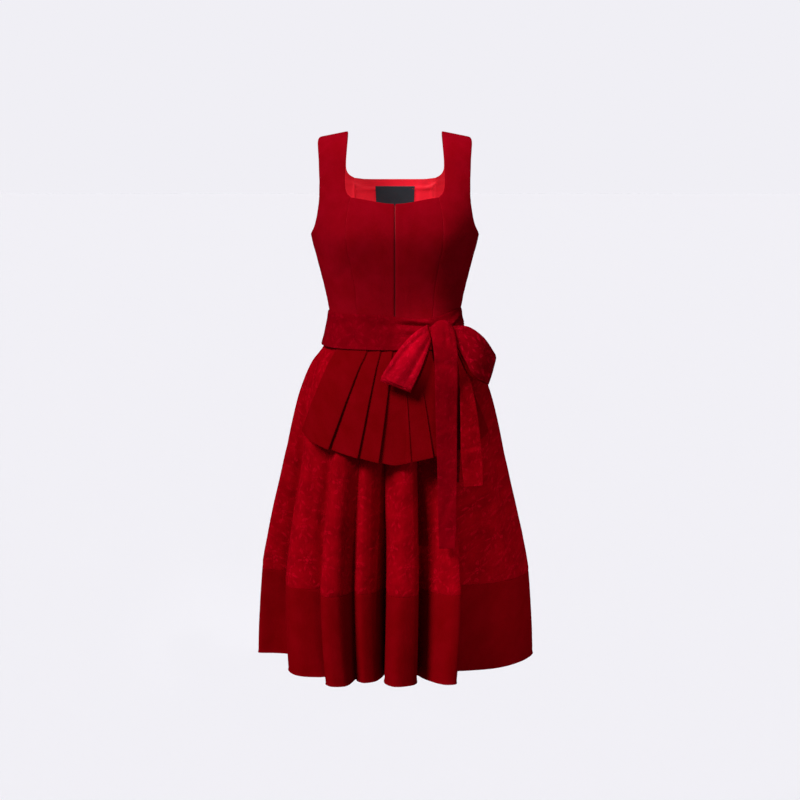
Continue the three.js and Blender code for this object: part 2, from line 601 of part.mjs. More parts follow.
function loopGrid({ facing, rows, tip }) {
  const last = rows[rows.length - 1];
  const middle = (row) => new THREE.Vector3(row.x, -row.depth, row.z);
  const up = (row) => new THREE.Vector3(row.upX, 0, row.upZ);
  const ahead = middle(tip).sub(middle(last));
  const turn = (degrees) => ({
    centre: middle(last).addScaledVector(ahead, Math.cos(degrees * DEG)),
    up: up(last).lerp(up(tip), Math.cos(degrees * DEG)),
    lift: (-last.gap / 2) * Math.sin(degrees * DEG),
  });
  const section = (row, side) => ({ centre: middle(row), up: up(row), lift: (side * row.gap) / 2 });
  const layer = (side) => rows.map((row) => section(row, side));
  const path = [...layer(-1), ...TIP_TURNS.map(turn), ...layer(1).reverse()];
  return path.map(({ centre, up: edge, lift }) =>
    steps(RIBBON_STEPS).map((u) => {
      const across = 2 * u - 1;
      const crown = lift * (1 - LOOP_CROWN * across * across);
      return centre.clone().addScaledVector(edge, across).addScaledVector(facing, crown);
    }),
  );
}
for (const [side, loop] of Object.entries(LOOPS)) {
  const grid = withNormals(loopGrid(loop));
  add(`sash_loop_${side}`, clothWall(grid, SASH_CLOTH), BROCADE);
}

// The two hanging ends: sections down each tail. x and depth are the middle of its outer face, half is
// half its width, and turn swings its right edge back, in degrees.
const TAILS = {
  long: [
    { z: -372, x: 92, depth: 125.1, half: 19, turn: 10 },
    { z: -410, x: 97, depth: 126.4, half: 23, turn: 9 },
    { z: -450, x: 98.5, depth: 139, half: 22.5, turn: 12 },
    { z: -508, x: 98.8, depth: 159, half: 22, turn: 16 },
    { z: -560, x: 98.8, depth: 177, half: 21, turn: 16 },
    { z: -625, x: 99.6, depth: 198, half: 19.6, turn: 14 },
    { z: -694, x: 99.6, depth: 209, half: 17.8, turn: 6 },
    { z: -740, x: 99.8, depth: 215, half: 17, turn: 4 },
    { z: -786, x: 99.4, depth: 221, half: 15, turn: 4 },
  ],
  short: [
    { z: -398, x: 115.5, depth: 101.8, half: 6, turn: 26 },
    { z: -414, x: 122, depth: 103, half: 8, turn: 34 },
    { z: -440, x: 130, depth: 105, half: 10.5, turn: 40 },
    { z: -470, x: 134.8, depth: 118, half: 13.5, turn: 40 },
    { z: -505, x: 139.6, depth: 133.5, half: 17.5, turn: 38 },
    { z: -549, x: 143.6, depth: 154.5, half: 21.5, turn: 36 },
    { z: -600, x: 146.4, depth: 176, half: 24, turn: 34 },
    { z: -635, x: 148.8, depth: 183, half: 23, turn: 30 },
    { z: -672, x: 151, depth: 186.5, half: 20.5, turn: 26 },
  ],
};
for (const [name, rows] of Object.entries(TAILS)) {
  const grid = rows.map(({ z, x, depth, half, turn }) =>
    steps(RIBBON_STEPS).map((u) => {
      const across = (2 * u - 1) * half;
      return new THREE.Vector3(x + across * Math.cos(turn * DEG), -depth + across * Math.sin(turn * DEG), z);
    }),
  );
  add(`sash_tail_${name}`, clothWall(withNormals(grid), SASH_CLOTH), BROCADE);
}

export default dirndl;
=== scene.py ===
# A sleeveless dirndl as it is worn, with no wearer in it: a crepe bodice lined in coral satin, a brocade
# skirt with a crepe hem band, a pleated crepe peplum and a brocade sash tied in a bow. Sizes are in
# millimetres unless a line says otherwise. The front faces -Y, and right is +X, seen from the front.

import math
from functools import partial, reduce

import bpy
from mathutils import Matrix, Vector


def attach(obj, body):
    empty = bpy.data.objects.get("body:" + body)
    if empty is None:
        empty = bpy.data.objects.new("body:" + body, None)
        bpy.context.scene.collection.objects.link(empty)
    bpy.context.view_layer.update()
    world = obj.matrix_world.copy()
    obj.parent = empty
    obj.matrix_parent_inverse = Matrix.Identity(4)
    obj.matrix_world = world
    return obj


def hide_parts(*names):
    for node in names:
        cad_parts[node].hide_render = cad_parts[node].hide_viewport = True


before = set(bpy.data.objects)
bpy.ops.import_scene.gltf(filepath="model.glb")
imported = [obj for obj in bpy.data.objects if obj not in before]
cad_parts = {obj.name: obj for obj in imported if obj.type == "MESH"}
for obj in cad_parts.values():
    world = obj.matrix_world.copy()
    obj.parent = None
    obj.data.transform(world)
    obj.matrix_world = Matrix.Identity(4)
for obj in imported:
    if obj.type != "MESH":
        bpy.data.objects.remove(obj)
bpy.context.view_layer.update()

# ---- Camera ----
# It stands 3.7 m in front of the dress at the height of its shoulders and looks slightly down.

CAMERA_PLACE = (0.010, -3.700, 0.0)  # metres
CAMERA_TILT = 8.186  # degrees below level
CAMERA_LENS = 84.15  # for a sensor 36 mm wide

camera_data = bpy.data.cameras.new("camera")
camera_data.sensor_width = 36
camera_data.lens = CAMERA_LENS
camera = bpy.data.objects.new("camera", camera_data)
camera.location = CAMERA_PLACE
camera.rotation_euler = (math.radians(90 - CAMERA_TILT), 0, 0)
bpy.context.collection.objects.link(camera)
bpy.context.scene.camera = camera

# ---- Studio ----
# A pale floor far enough below the hem for a wearer's legs, and eight lights: the main one high on the
# left in front, a weak one on the right, one behind for the back, and narrow ones for the neck, the
# shoulders, the knot and the right of the skirt. The air and the floor are pale, and brighter to look at
# than to light by.

FLOOR_HEIGHT, FLOOR_HALF = -2.1, 60  # metres
SEEN_AIR, LIGHTING_AIR = (0.872, 0.863, 0.912, 1), (0.95, 0.95, 1, 1)
AIR_STRENGTH = 0.16
SEEN_FLOOR, LIGHTING_FLOOR = (0.852, 0.841, 0.881, 1), (0.28, 0.28, 0.30, 1)

bpy.context.scene.view_settings.view_transform = "Standard"


def wire(tree, socket, value):
    """Gives an input a socket to read from, or a plain value."""
    if isinstance(value, bpy.types.NodeSocket):
        tree.links.new(value, socket)
    else:
        socket.default_value = value


def add_node(tree, kind, feeds=None, **settings):
    """A shader node with its settings, and what each of its inputs reads."""
    node = tree.nodes.new("ShaderNode" + kind)
    for name, value in settings.items():
        setattr(node, name, value)
    for name, value in (feeds or {}).items():
        wire(tree, node.inputs[name], value)
    return node


def blend_colours(tree, share, first, second):
    return add_node(tree, "Mix", {"Factor": share, 6: first, 7: second}, data_type="RGBA").outputs[2]


def hang_light(name, kind, strength, toward, place=(0, 0, 0)):
    light = bpy.data.lights.new(name, kind)
    light.energy = strength
    lamp = bpy.data.objects.new(name, light)
    lamp.location = place
    lamp.rotation_mode = "QUATERNION"
    lamp.rotation_quaternion = Vector(toward).to_track_quat("-Z", "Y")
    bpy.context.collection.objects.link(lamp)
    return light


def soft_light(name, strength, spread, toward):
    hang_light(name, "SUN", strength, toward).angle = math.radians(spread)


soft_light("main_light", strength=3.45, spread=22, toward=(0.94, 0.86, -1.2))
soft_light("side_light", strength=0.12, spread=70, toward=(-1.0, 0.9, -0.35))
soft_light("back_light", strength=1.3, spread=40, toward=(0.0, -1.0, -0.3))


def narrow_light(name, strength, cone, softness, place, target):
    """A round beam from one place to another, both in metres."""
    light = hang_light(name, "SPOT", strength, Vector(target) - Vector(place), place)
    light.spot_size = math.radians(cone)
    light.spot_blend = softness
    light.shadow_soft_size = 0.02


narrow_light("neck_light", 8, 6.6, 0.5, place=(0.0, -1.2, 0.9), target=(-0.01, 0.1, -0.115))
narrow_light("skirt_light", 95, 17, 1, place=(1.7, -2.2, -0.5), target=(0.265, -0.08, -0.80))
narrow_light("strap_light", 50, 7, 1, place=(0.7, -2.2, 0.8), target=(0.13, -0.07, -0.06))
narrow_light("knot_light", 150, 4.8, 1, place=(0.1, -2.1, 1.1), target=(0.078, -0.13, -0.39))
narrow_light("shoulder_light", 85, 12, 1, place=(0.25, -1.9, 1.0), target=(0.0, -0.07, 0.01))

air = bpy.data.worlds.new("studio_air")
air.use_nodes = True
bpy.context.scene.world = air
air_tree = air.node_tree
seen_air = air_tree.nodes["Background"]
seen_air.inputs["Color"].default_value = SEEN_AIR
lighting_air = add_node(air_tree, "Background", {"Color": LIGHTING_AIR, "Strength": AIR_STRENGTH})
seen = add_node(air_tree, "LightPath").outputs["Is Camera Ray"]
choose_air = add_node(air_tree, "MixShader", {0: seen, 1: lighting_air.outputs[0], 2: seen_air.outputs[0]})
wire(air_tree, air_tree.nodes["World Output"].inputs["Surface"], choose_air.outputs[0])

floor_mesh = bpy.data.meshes.new("floor")
floor_corners = [
    (x * FLOOR_HALF, y * FLOOR_HALF, FLOOR_HEIGHT) for x, y in ((-1, -1), (1, -1), (1, 1), (-1, 1))
]
floor_mesh.from_pydata(floor_corners, [], [(0, 1, 2, 3)])
floor = bpy.data.objects.new("floor", floor_mesh)
bpy.context.collection.objects.link(floor)
floor_paint = bpy.data.materials.new("floor_paint")
floor_paint.use_nodes = True
floor_tree = floor_paint.node_tree
floor_face = floor_tree.nodes["Principled BSDF"]
floor_face.inputs["Roughness"].default_value = 1
floor_face.inputs["Specular IOR Level"].default_value = 0
seen = add_node(floor_tree, "LightPath").outputs["Is Camera Ray"]
wire(floor_tree, floor_face.inputs["Base Color"], blend_colours(floor_tree, seen, LIGHTING_FLOOR, SEEN_FLOOR))
floor_mesh.materials.append(floor_paint)

# ---- Bodice ----
# Seven panels of interlined wool crepe: two front middles with the hidden zip between them, two front
# and two back sides that run on into the straps, and a back middle. Princess seams shape the bust.
# Inside, the fronts are faced with the coral satin of the lining.

DEG = math.pi / 180
MM = 0.001  # metres in a millimetre


def between(a, b, t):
    return a + (b - a) * t


def steps(count):
    return [i / count for i in range(count + 1)]


def smooth(t):
    t = min(max(t, 0), 1)
    return t * t * (3 - 2 * t)


def hump(distance, width):
    return math.exp(-((distance / width) ** 2))


def curve_through(rows, share, corners=()):
    """The row at a share of the way along a list of rows, by a smooth curve. Corners are sharp turns."""
    place = min(max(share, 0), 1) * (len(rows) - 1)
    k = min(int(place), len(rows) - 2)
    t = place - k
    a, b = rows[k], rows[k + 1]
    before = a if k in corners or k == 0 else rows[k - 1]
    after = b if k + 1 in corners or k + 2 == len(rows) else rows[k + 2]
    result = []
    for p0, p1, p2, p3 in zip(before, a, b, after):
        start = p2 - p1 if p0 == p1 else (p2 - p0) / 2
        end = p2 - p1 if p3 == p2 else (p3 - p1) / 2
        curve = (2 * t**3 - 3 * t**2 + 1) * p1 + (3 * t**2 - 2 * t**3) * p2
        result.append(curve + (t**3 - 2 * t**2 + t) * start + (t**3 - t**2) * end)
    return result


def table(names, *rows):
    """Rows of values whose columns have names. A short row leaves out its last ones."""
    return [dict(zip(names.split(), row)) for row in rows]


def column(rows, name, z):
    """One column of a table at the height z, by a smooth curve through its rows, which run downwards."""
    last = len(rows) - 1
    if z >= rows[0]["z"]:
        return rows[0][name]
    if z <= rows[last]["z"]:
        return rows[last][name]
    k = next(i for i, row in enumerate(rows) if row["z"] < z)
    a, b = rows[k - 1], rows[k]
    before, after = rows[max(k - 2, 0)], rows[min(k + 1, last)]
    span = b["z"] - a["z"]
    t = (z - a["z"]) / span
    start = (b[name] - before[name]) / (b["z"] - before["z"]) * span
    end = (after[name] - a[name]) / (after["z"] - a["z"]) * span
    curve = (2 * t**3 - 3 * t**2 + 1) * a[name] + (3 * t**2 - 2 * t**3) * b[name]
    return curve + (t**3 - 2 * t**2 + t) * start + (t**3 - t**2) * end


def section_point(angle, half, depth, squareness):
    sin, cos = math.sin(angle), math.cos(angle)
    return half * sin * (1 + squareness * cos * cos), -depth * cos * (1 + squareness * sin * sin)


CREASE_PAST, CREASE_FADE = 0.2, 0.5  # shares of its length: how far it runs past its ends, and fades


def creased(creases, angle, z, mm_per_degree):
    """How far soft troughs (-) and ridges (+) move the cloth out, at an angle in radians and a height. A
    crease is given by the degrees and height at both its ends, its width, and how far it rises."""
    total = 0
    degrees = angle / DEG
    for a1, z1, a2, z2, width, rise in creases:
        run = ((a2 - a1) * mm_per_degree, z2 - z1)
        here = ((degrees - a1) * mm_per_degree, z - z1)
        length = run[0] ** 2 + run[1] ** 2
        t = (here[0] * run[0] + here[1] * run[1]) / length
        if -CREASE_PAST < t < 1 + CREASE_PAST:
            off = abs(here[0] * run[1] - here[1] * run[0]) / math.sqrt(length)
            if off < 3 * width:
                fade = smooth((t + CREASE_PAST) / CREASE_FADE)
                fade *= smooth((1 + CREASE_PAST - t) / CREASE_FADE)
                total += rise * fade * hump(off, width)
    return total


def cloth_lengths(grid):
    """Where each point of a grid lies on the flat cloth, in metres: along its row and down its column."""
    middle = len(grid[0]) // 2
    down = [0]
    for above, below in zip(grid, grid[1:]):
        down.append(down[-1] + (below[middle] - above[middle]).length)
    places = []
    for row, v in zip(grid, down):
        along = [0]
        for before, after in zip(row, row[1:]):
            along.append(along[-1] + (after - before).length)
        places.append([((u - along[middle]) * MM, -v * MM) for u in along])
    return places


SOFT_EDGE = 0.3  # how much of the thickness a cut edge is rounded by
SHARP_ANGLE = 60  # degrees


def make_cloth(name, grid, thickness, outside, inside, centre=None):
    """A piece of cloth whose outer face has the grid's points, with its thickness laid inwards: towards
    the middle line of the dress, or towards the centre of the piece if it has one."""
    rows, columns = len(grid), len(grid[0])
    faces = [
        (r * columns + c, (r + 1) * columns + c, (r + 1) * columns + c + 1, r * columns + c + 1)
        for r in range(rows - 1)
        for c in range(columns - 1)
    ]
    points = [point for row in grid for point in row]
    outward = 0
    for a, b, c, d in faces:
        normal = (points[b] - points[a]).cross(points[d] - points[a])
        away = points[a] - centre if centre else Vector((points[a].x, points[a].y, 0))
        outward += normal.dot(away)
    if outward < 0:
        faces = [face[::-1] for face in faces]
    mesh = bpy.data.meshes.new(name)
    mesh.from_pydata([point * MM for point in points], [], faces)
    places = [place for row in cloth_lengths(grid) for place in row]
    layer = mesh.uv_layers.new(name="cloth")
    for loop in mesh.loops:
        layer.data[loop.index].uv = places[loop.vertex_index]
    mesh.polygons.foreach_set("use_smooth", [True] * len(mesh.polygons))
    mesh.materials.append(outside)
    mesh.materials.append(inside)
    piece = bpy.data.objects.new(name, mesh)
    bpy.context.collection.objects.link(piece)
    wall = piece.modifiers.new("thickness", "SOLIDIFY")
    wall.thickness = thickness * MM
    wall.offset = -1
    wall.use_even_offset = False
    wall.material_offset = 1
    edge = piece.modifiers.new("soft_edge", "BEVEL")
    edge.width = thickness * MM * SOFT_EDGE
    edge.segments = 2
    edge.limit_method = "ANGLE"
    edge.angle_limit = math.radians(SHARP_ANGLE)
    return piece


def sew(node, grid, thickness, faces, centre=None):
    """Makes a piece with its outside and inside cloth, and puts it in its node's place."""
    piece = make_cloth(node + "_cloth", grid, thickness, *faces, centre)
    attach(piece, "root")
    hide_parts(node)


def maths(tree, operation, *values, clamp=False):
    node = add_node(tree, "Math", operation=operation, use_clamp=clamp)
    for socket, value in zip(node.inputs, values):
        wire(tree, socket, value)
    return node.outputs[0]


def new_group(name, takes, gives):
    """A shader node group with its inputs and outputs, and the sockets inside it."""
    tree = bpy.data.node_groups.new(name, "ShaderNodeTree")
    for direction, names in (("INPUT", takes), ("OUTPUT", gives)):
        for label, kind in names.items():
            tree.interface.new_socket(label, in_out=direction, socket_type="NodeSocket" + kind)
    return tree, tree.nodes.new("NodeGroupInput").outputs, tree.nodes.new("NodeGroupOutput").inputs


def use_group(tree, group, **values):
    node = tree.nodes.new("ShaderNodeGroup")
    node.node_tree = group
    for name, value in values.items():
        wire(tree, node.inputs[name.replace("_", " ")], value)
    return node.outputs


def noise(tree, place, scale, detail=2, roughness=0.5):
    feeds = {"Vector": place, "Scale": scale, "Detail": detail, "Roughness": roughness}
    return add_node(tree, "TexNoise", feeds).outputs


def plain_weave():
    """Threads that pass over and under each other, and the uneven tone of dyed cloth."""
    inputs = {"Cloth": "Vector", "Threads": "Float", "Mottle": "Float"}
    tree, takes, gives = new_group("plain_weave", inputs, {"Height": "Float", "Tone": "Float"})
    calc = partial(maths, tree)
    split = add_node(tree, "SeparateXYZ", {0: takes["Cloth"]})
    turns = calc("MULTIPLY", takes["Threads"], math.pi)
    warp = calc("SINE", calc("MULTIPLY", split.outputs["X"], turns))
    weft = calc("SINE", calc("MULTIPLY", split.outputs["Y"], turns))
    over = calc("GREATER_THAN", calc("MULTIPLY", warp, weft), 0.0)
    threads = {"Factor": over, 2: calc("ABSOLUTE", warp), 3: calc("ABSOLUTE", weft)}
    wire(tree, gives["Height"], add_node(tree, "Mix", threads, data_type="FLOAT").outputs[0])
    wire(tree, gives["Tone"], noise(tree, takes["Cloth"], takes["Mottle"], 4, 0.6)[0])
    return tree


WEAVE = plain_weave()


def bump(tree, height, millimetres, before=None):
    feeds = {"Strength": 1, "Distance": millimetres * MM, "Height": height}
    if before:
        feeds["Normal"] = before
    return add_node(tree, "Bump", feeds).outputs[0]


def woven(name, threads, mottle, roughness, shine):
    """A new material: its tree and surface, the flat cloth's own coordinates, and the weave on them."""
    material = bpy.data.materials.new(name)
    material.use_nodes = True
    tree = material.node_tree
    place = add_node(tree, "UVMap", uv_map="cloth").outputs["UV"]
    weave = use_group(tree, WEAVE, Cloth=place, Threads=threads, Mottle=mottle)
    surface = tree.nodes["Principled BSDF"].inputs
    surface["Roughness"].default_value = roughness
    surface["Specular IOR Level"].default_value = shine
    return material, tree, surface, place, weave


def sheen(surface, weight, roughness, tint):
    surface["Sheen Weight"].default_value = weight
    surface["Sheen Roughness"].default_value = roughness
    surface["Sheen Tint"].default_value = tint


def crepe_material(name, dark, light):
    """Matt wool crepe: a dense fine weave with crinkled threads, which gives it a dry pebbled face."""
    material, tree, surface, place, weave = woven(name, 1400.0, 22.0, roughness=0.86, shine=0)
    pebbles = noise(tree, place, 750, 3)[0]
    uneven = maths(tree, "MULTIPLY_ADD", pebbles, 0.35, weave["Tone"])
    shade = add_node(tree, "MapRange", {"Value": uneven, "From Min": 0.35, "From Max": 0.95})
    wire(tree, surface["Base Color"], blend_colours(tree, shade.outputs[0], dark, light))
    sheen(surface, 0.03, 0.6, (0.9, 0.0, 0.03, 1))
    wire(tree, surface["Normal"], bump(tree, pebbles, 0.16, bump(tree, weave["Height"], 0.09)))
    return material


def satin_material(name, dark, light):
    """Light lining satin: smooth, with a soft shine and faint lengthwise threads."""
    material, tree, surface, place, weave = woven(name, 2200.0, 30.0, roughness=0.42, shine=0.3)
    stretched = add_node(tree, "Mapping", {"Scale": (1, 0.12, 1), "Vector": place})
    slubs = noise(tree, stretched.outputs[0], 900)[0]
    wire(tree, surface["Base Color"], blend_colours(tree, weave["Tone"], dark, light))
    surface["Anisotropic"].default_value = 0.4
    sheen(surface, 0.1, 0.5, (1, 0.3, 0.3, 1))
    wire(tree, surface["Normal"], bump(tree, slubs, 0.05, bump(tree, weave["Height"], 0.02)))
    return material


def tape_material(name, threads, mottle, roughness, shine, relief, dark, light):
    """Narrow woven tape: fine ribs and a slightly uneven tone."""
    material, tree, surface, place, weave = woven(name, threads, mottle, roughness, shine)
    wire(tree, surface["Base Color"], blend_colours(tree, weave["Tone"], dark, light))
    wire(tree, surface["Normal"], bump(tree, weave["Height"], relief))
    return material


CREPE = crepe_material("red_crepe", (0.195, 0.0005, 0.0028, 1), (0.275, 0.0012, 0.0080, 1))
SATIN = satin_material("coral_satin", (0.66, 0.009, 0.021, 1), (0.88, 0.016, 0.038, 1))

WAIST_SEAM = -385
UNDERARM = -203
BODICE_CLOTH = 2.0

# Outer size of the bodice: half its width, and its depth in front of and behind the middle.
TORSO_SQUARENESS = 0.1
TORSO = table(
    "z half front back",
    (0, 186, 66, 66), (-60, 187, 70, 84), (-100, 184, 81, 98), (-141, 177, 95, 107),
    (-175, 169.5, 106, 109), (UNDERARM, 165.5, 112, 106), (-247, 154.3, 108, 97), (-292, 142.7, 100, 89),
    (-332, 133.8, 95, 84), (-356, 130.4, 94, 84), (WAIST_SEAM, 134, 97, 88),
)
ARCH = 60  # the straps turn over the shoulder within this height
ARCH_LENGTH = ARCH * math.pi / 2
SHOULDER_SLOPE, SLOPE_FROM, SLOPE_FADE = 0.2, 92, 120
BUST = {"angle": 36 * DEG, "spread": 21 * DEG, "z": -207, "height": 46, "fullness": 12}
ROUND = 2.6  # millimetres round the bodice in a degree, on average
MIDDLE_ROUND = 3.0  # the same near the front and back middle


def arc_of(z):
    """Path length under the shoulder line for a height: the strap's arch counts by its length."""
    return math.acos(1 + z / ARCH) * ARCH if z > -ARCH else ARCH_LENGTH - ARCH - z


def height_of(arc):
    return -ARCH * (1 - math.cos(arc / ARCH)) if arc < ARCH_LENGTH else ARCH_LENGTH - ARCH - arc


def torso(angle, arc):
    """A point of the bodice. Angle 0 is the front middle and a quarter turn the right side."""
    z = height_of(arc)
    turn = math.sin(min(arc / ARCH, math.pi / 2))
    depth = column(TORSO, "front" if math.cos(angle) > 0 else "back", z) * turn
    x, y = section_point(angle, column(TORSO, "half", z), depth, TORSO_SQUARENESS)
    lobes = hump(angle - BUST["angle"], BUST["spread"]) + hump(angle + BUST["angle"], BUST["spread"])
    bust = BUST["fullness"] * lobes * hump(z - BUST["z"], BUST["height"]) * math.cos(angle)
    drop = SHOULDER_SLOPE * max(0, abs(x) - SLOPE_FROM) * smooth(1 + z / SLOPE_FADE)
    return Vector((x, y - bust, z - drop))


def torso_out(angle, arc):
    turn, step = 1e-3, 0.1  # radians and millimetres
    around = torso(angle + turn, arc) - torso(angle - turn, arc)
    down = torso(angle, arc + step) - torso(angle, arc - step)
    return down.cross(around).normalized()


def angle_at(x, z):
    """The angle at which the bodice reaches a distance x from the middle. Past its side, a quarter turn."""
    half = column(TORSO, "half", z)
    low, high = 0, math.pi / 2
    for _ in range(30):  # each round halves what is left
        middle = (low + high) / 2
        if section_point(middle, half, 0, TORSO_SQUARENESS)[0] < x:
            low = middle
        else:
            high = middle
    return low


# The two edges of a side panel, from waist to shoulder. "in" is the princess seam, then the neckline and
# the strap, and "out" the side seam (at SIDE), then the armhole: distance from the middle, and height.
SIDE = 400
FRONT_SIDE = table(
    "in out",
    ((72, WAIST_SEAM), (SIDE, WAIST_SEAM)), ((74, -350), (SIDE, -350)), ((77, -308), (SIDE, -306)),
    ((84, -262), (SIDE, -264)), ((91, -230), (SIDE, -232)), ((94, -202), (SIDE, UNDERARM)),
    ((93.5, -175), (161.5, -192)), ((90, -148), (154.5, -172)), ((85, -126), (150, -150)),
    ((92.5, -118), (147.5, -130)), ((96, -106), (147, -112)), ((96.5, -84), (147, -88)),
    ((95.5, -52), (148, -52)), ((94, -27), (149.5, -27)), ((93, -8), (150.5, -8)), ((92, 0), (147, 0)),
)
BACK_SIDE = table(
    "in out",
    ((56, WAIST_SEAM), (SIDE, WAIST_SEAM)), ((57, -350), (SIDE, -350)), ((61, -306), (SIDE, -306)),
    ((67, -260), (SIDE, -264)), ((73, -220), (SIDE, -232)), ((78, -185), (SIDE, UNDERARM)),
    ((81, -150), (162, -190)), ((82, -120), (156, -166)), ((82, -92.5), (152, -138)),
    ((92, -86), (150, -112)), ((98, -75), (149.5, -88)), ((98.5, -58), (149, -64)), ((97, -40), (149, -42)),
    ((95, -22), (150, -22)), ((93, -7), (150.5, -7)), ((92, 0), (147, 0)),
)
SEAM_ROWS = 9  # the first rows of each table are the princess seam
SEAM_END = (SEAM_ROWS - 1) / (len(FRONT_SIDE) - 1)
UNDERARM_ROW = 5
SEAM_GAP = 0.02  # the panels meet at their seams
SEAM_SHIFT = SEAM_GAP * 0.6 / 110  # the same as an angle, at a princess seam
PANEL_ROWS, MIDDLE_ROWS, PANEL_COLUMNS = 90, 64, 26
END_CROWDING = 0.86  # how much closer the rows and columns lie towards a piece's edges
OPENING = 1.2  # half the gap at the front opening
FRONT_NECK = [(-138,), (-136.4,), (-132.6,), (-129,), (-126,)]
BACK_NECK = [(-95.5,), (-95.5,), (-95.5,), (-95,), (-92.5,)]

# The edges of the front facing show through as ridges, this far from the opening.
FACING = {"left": -31, "right": 25, "width": 2.2, "rise": 0.7}
SEAM_ROLL = {"width": 1.2, "depth": 0.6}  # cloth turns under at a seam
EDGE_ROLL = {"width": 1.6, "depth": 0.9}  # and at the neckline, armholes and front opening

# The creases that wear has left: degrees from the front middle and height at both ends, width, rise.
BODICE_CREASES = [
    (34, -258, 58, -292, 9, -1.6), (52, -266, 80, -276, 7, 0.9), (-32, -262, -54, -290, 10, -1.2),
    (-60, -246, -84, -232, 7, -0.9), (-88, -330, -62, -344, 5, -0.9), (-86, -342, -48, -352, 4, 0.7),
    (88, -322, 56, -341, 6, -1.0), (84, -338, 60, -350, 4, 0.8), (22, -318, 30, -350, 6, -0.7),
    (-21, -300, -27, -348, 7, -0.6), (64, -176, 44, -196, 8, -0.9), (-66, -180, -46, -204, 7, -0.8),
    (42, -100, 52, -128, 6, -0.7), (-52, -92, -40, -116, 5, -0.6), (95, -318, 128, -346, 7, -1.1),
    (100, -300, 122, -306, 6, 0.8), (152, -320, 172, -344, 8, -1.2), (206, -332, 184, -350, 6, -1.0),
    (262, -326, 236, -342, 7, -1.2), (258, -292, 240, -310, 6, 0.8), (118, -190, 138, -214, 8, -0.9),
    (240, -184, 224, -216, 8, -0.9),
]


def edge_line(rows, side):
    """A panel edge's rows as angles and path lengths under the shoulder line."""
    return [(angle_at(*row[side]), arc_of(row[side][1])) for row in rows]


EDGES = {
    "front": {side: edge_line(FRONT_SIDE, side) for side in ("in", "out")},
    "back": {side: edge_line(BACK_SIDE, side) for side in ("in", "out")},
}


def panel_edge(face, side, share):
    corners = (SEAM_ROWS - 1,) if side == "in" else (UNDERARM_ROW,)
    return curve_through(EDGES[face][side], share, corners)


def closer_at_ends(count):
    """Shares from 0 to 1 that crowd together towards both ends, where the cloth turns under."""
    return [t - END_CROWDING * math.sin(2 * math.pi * t) / (2 * math.pi) for t in steps(count)]


def turned(angle, face, hand):
    """An angle to the left (-1) or right (1) of the front or back middle, counted from the front one."""
    return hand * (angle if face == "front" else math.pi - angle)


def wrapped(angle):
    """The same angle between -90 and 270 degrees, as the creases are given."""
    return angle if angle > -math.pi / 2 - 0.1 else angle + 2 * math.pi


def rolled(distance, roll):
    return -roll["depth"] * math.exp(-distance / roll["width"])


PUCKERS = {"height": 0.16, "off_seam": 4, "width": 6}


def puckers(distance, along):
    """Uneven little pulls beside a seam."""
    wave = math.sin(along / 4.7 + 1.9 * math.sin(along / 31)) + 0.6 * math.sin(along / 8.3 + 2)
    return PUCKERS["height"] * wave * hump(distance - PUCKERS["off_seam"], PUCKERS["width"])


def side_panel(face, hand, inset=0, extra=None):
    rows = []
    for v in steps(PANEL_ROWS):
        inner_angle, inner_arc = panel_edge(face, "in", v)
        outer_angle, outer_arc = panel_edge(face, "out", v)
        inner_angle += SEAM_SHIFT
        width = (torso(outer_angle, outer_arc) - torso(inner_angle, inner_arc)).length
        on_strap = v > SEAM_END
        at_side_seam = v <= UNDERARM_ROW / (len(FRONT_SIDE) - 1)
        row = []
        for u in closer_at_ends(PANEL_COLUMNS):
            angle = turned(between(inner_angle, outer_angle, u), face, hand)
            arc = between(inner_arc, outer_arc, u)
            point, out = torso(angle, arc), torso_out(angle, arc)
            if extra:
                lift = extra(angle, point.z)
            else:
                lift = creased(BODICE_CREASES, wrapped(angle), point.z, ROUND)
                lift += rolled(u * width, EDGE_ROLL if on_strap else SEAM_ROLL)
                lift += rolled((1 - u) * width, SEAM_ROLL if at_side_seam else EDGE_ROLL)
                if not on_strap:
                    lift += puckers(u * width, arc)
                if at_side_seam:
                    lift += puckers((1 - u) * width, arc + 50)
            row.append(point + out * (lift - inset))
        rows.append(row)
    near = SEAM_GAP / 2
    for point in (point for row in rows for point in row):
        point.y = min(point.y, -near) if face == "front" else max(point.y, near)
    return rows[::-1]


def middle_panel(face, hand, start, inset=0, extra=None):
    neck = FRONT_NECK if face == "front" else BACK_NECK
    seam_top = panel_edge(face, "in", SEAM_END)[1]
    waist_arc = arc_of(WAIST_SEAM)
    rows = []
    for v in closer_at_ends(MIDDLE_ROWS):
        seam_angle, seam_arc = panel_edge(face, "in", v * SEAM_END)
        rise = (waist_arc - seam_arc) / (waist_arc - seam_top)
        row = []
        for u in closer_at_ends(PANEL_COLUMNS):
            top = curve_through(neck[:0:-1] + neck, 0.5 + u / 2)[0]
            z = between(WAIST_SEAM, top, rise)
            first = start / column(TORSO, "half", z)
            share = between(first, seam_angle - SEAM_SHIFT, u)
            angle, arc = turned(share, face, hand), arc_of(z)
            point, out = torso(angle, arc), torso_out(angle, arc)
            if extra:
                lift = extra(angle, point.z)
            else:
                width = (seam_angle - first) / DEG * MIDDLE_ROUND
                lift = creased(BODICE_CREASES, wrapped(angle), point.z, ROUND)
                lift += rolled((1 - u) * width, SEAM_ROLL) + rolled(top - z, EDGE_ROLL)
                lift += puckers((1 - u) * width, arc)
                if face == "front":
                    lift += rolled(u * width, EDGE_ROLL)
                    edge = FACING["left"] if hand < 0 else FACING["right"]
                    lift += FACING["rise"] * hump(point.x - edge, FACING["width"])
            row.append(point + out * (lift - inset))
        rows.append(row)
    return rows[::-1]


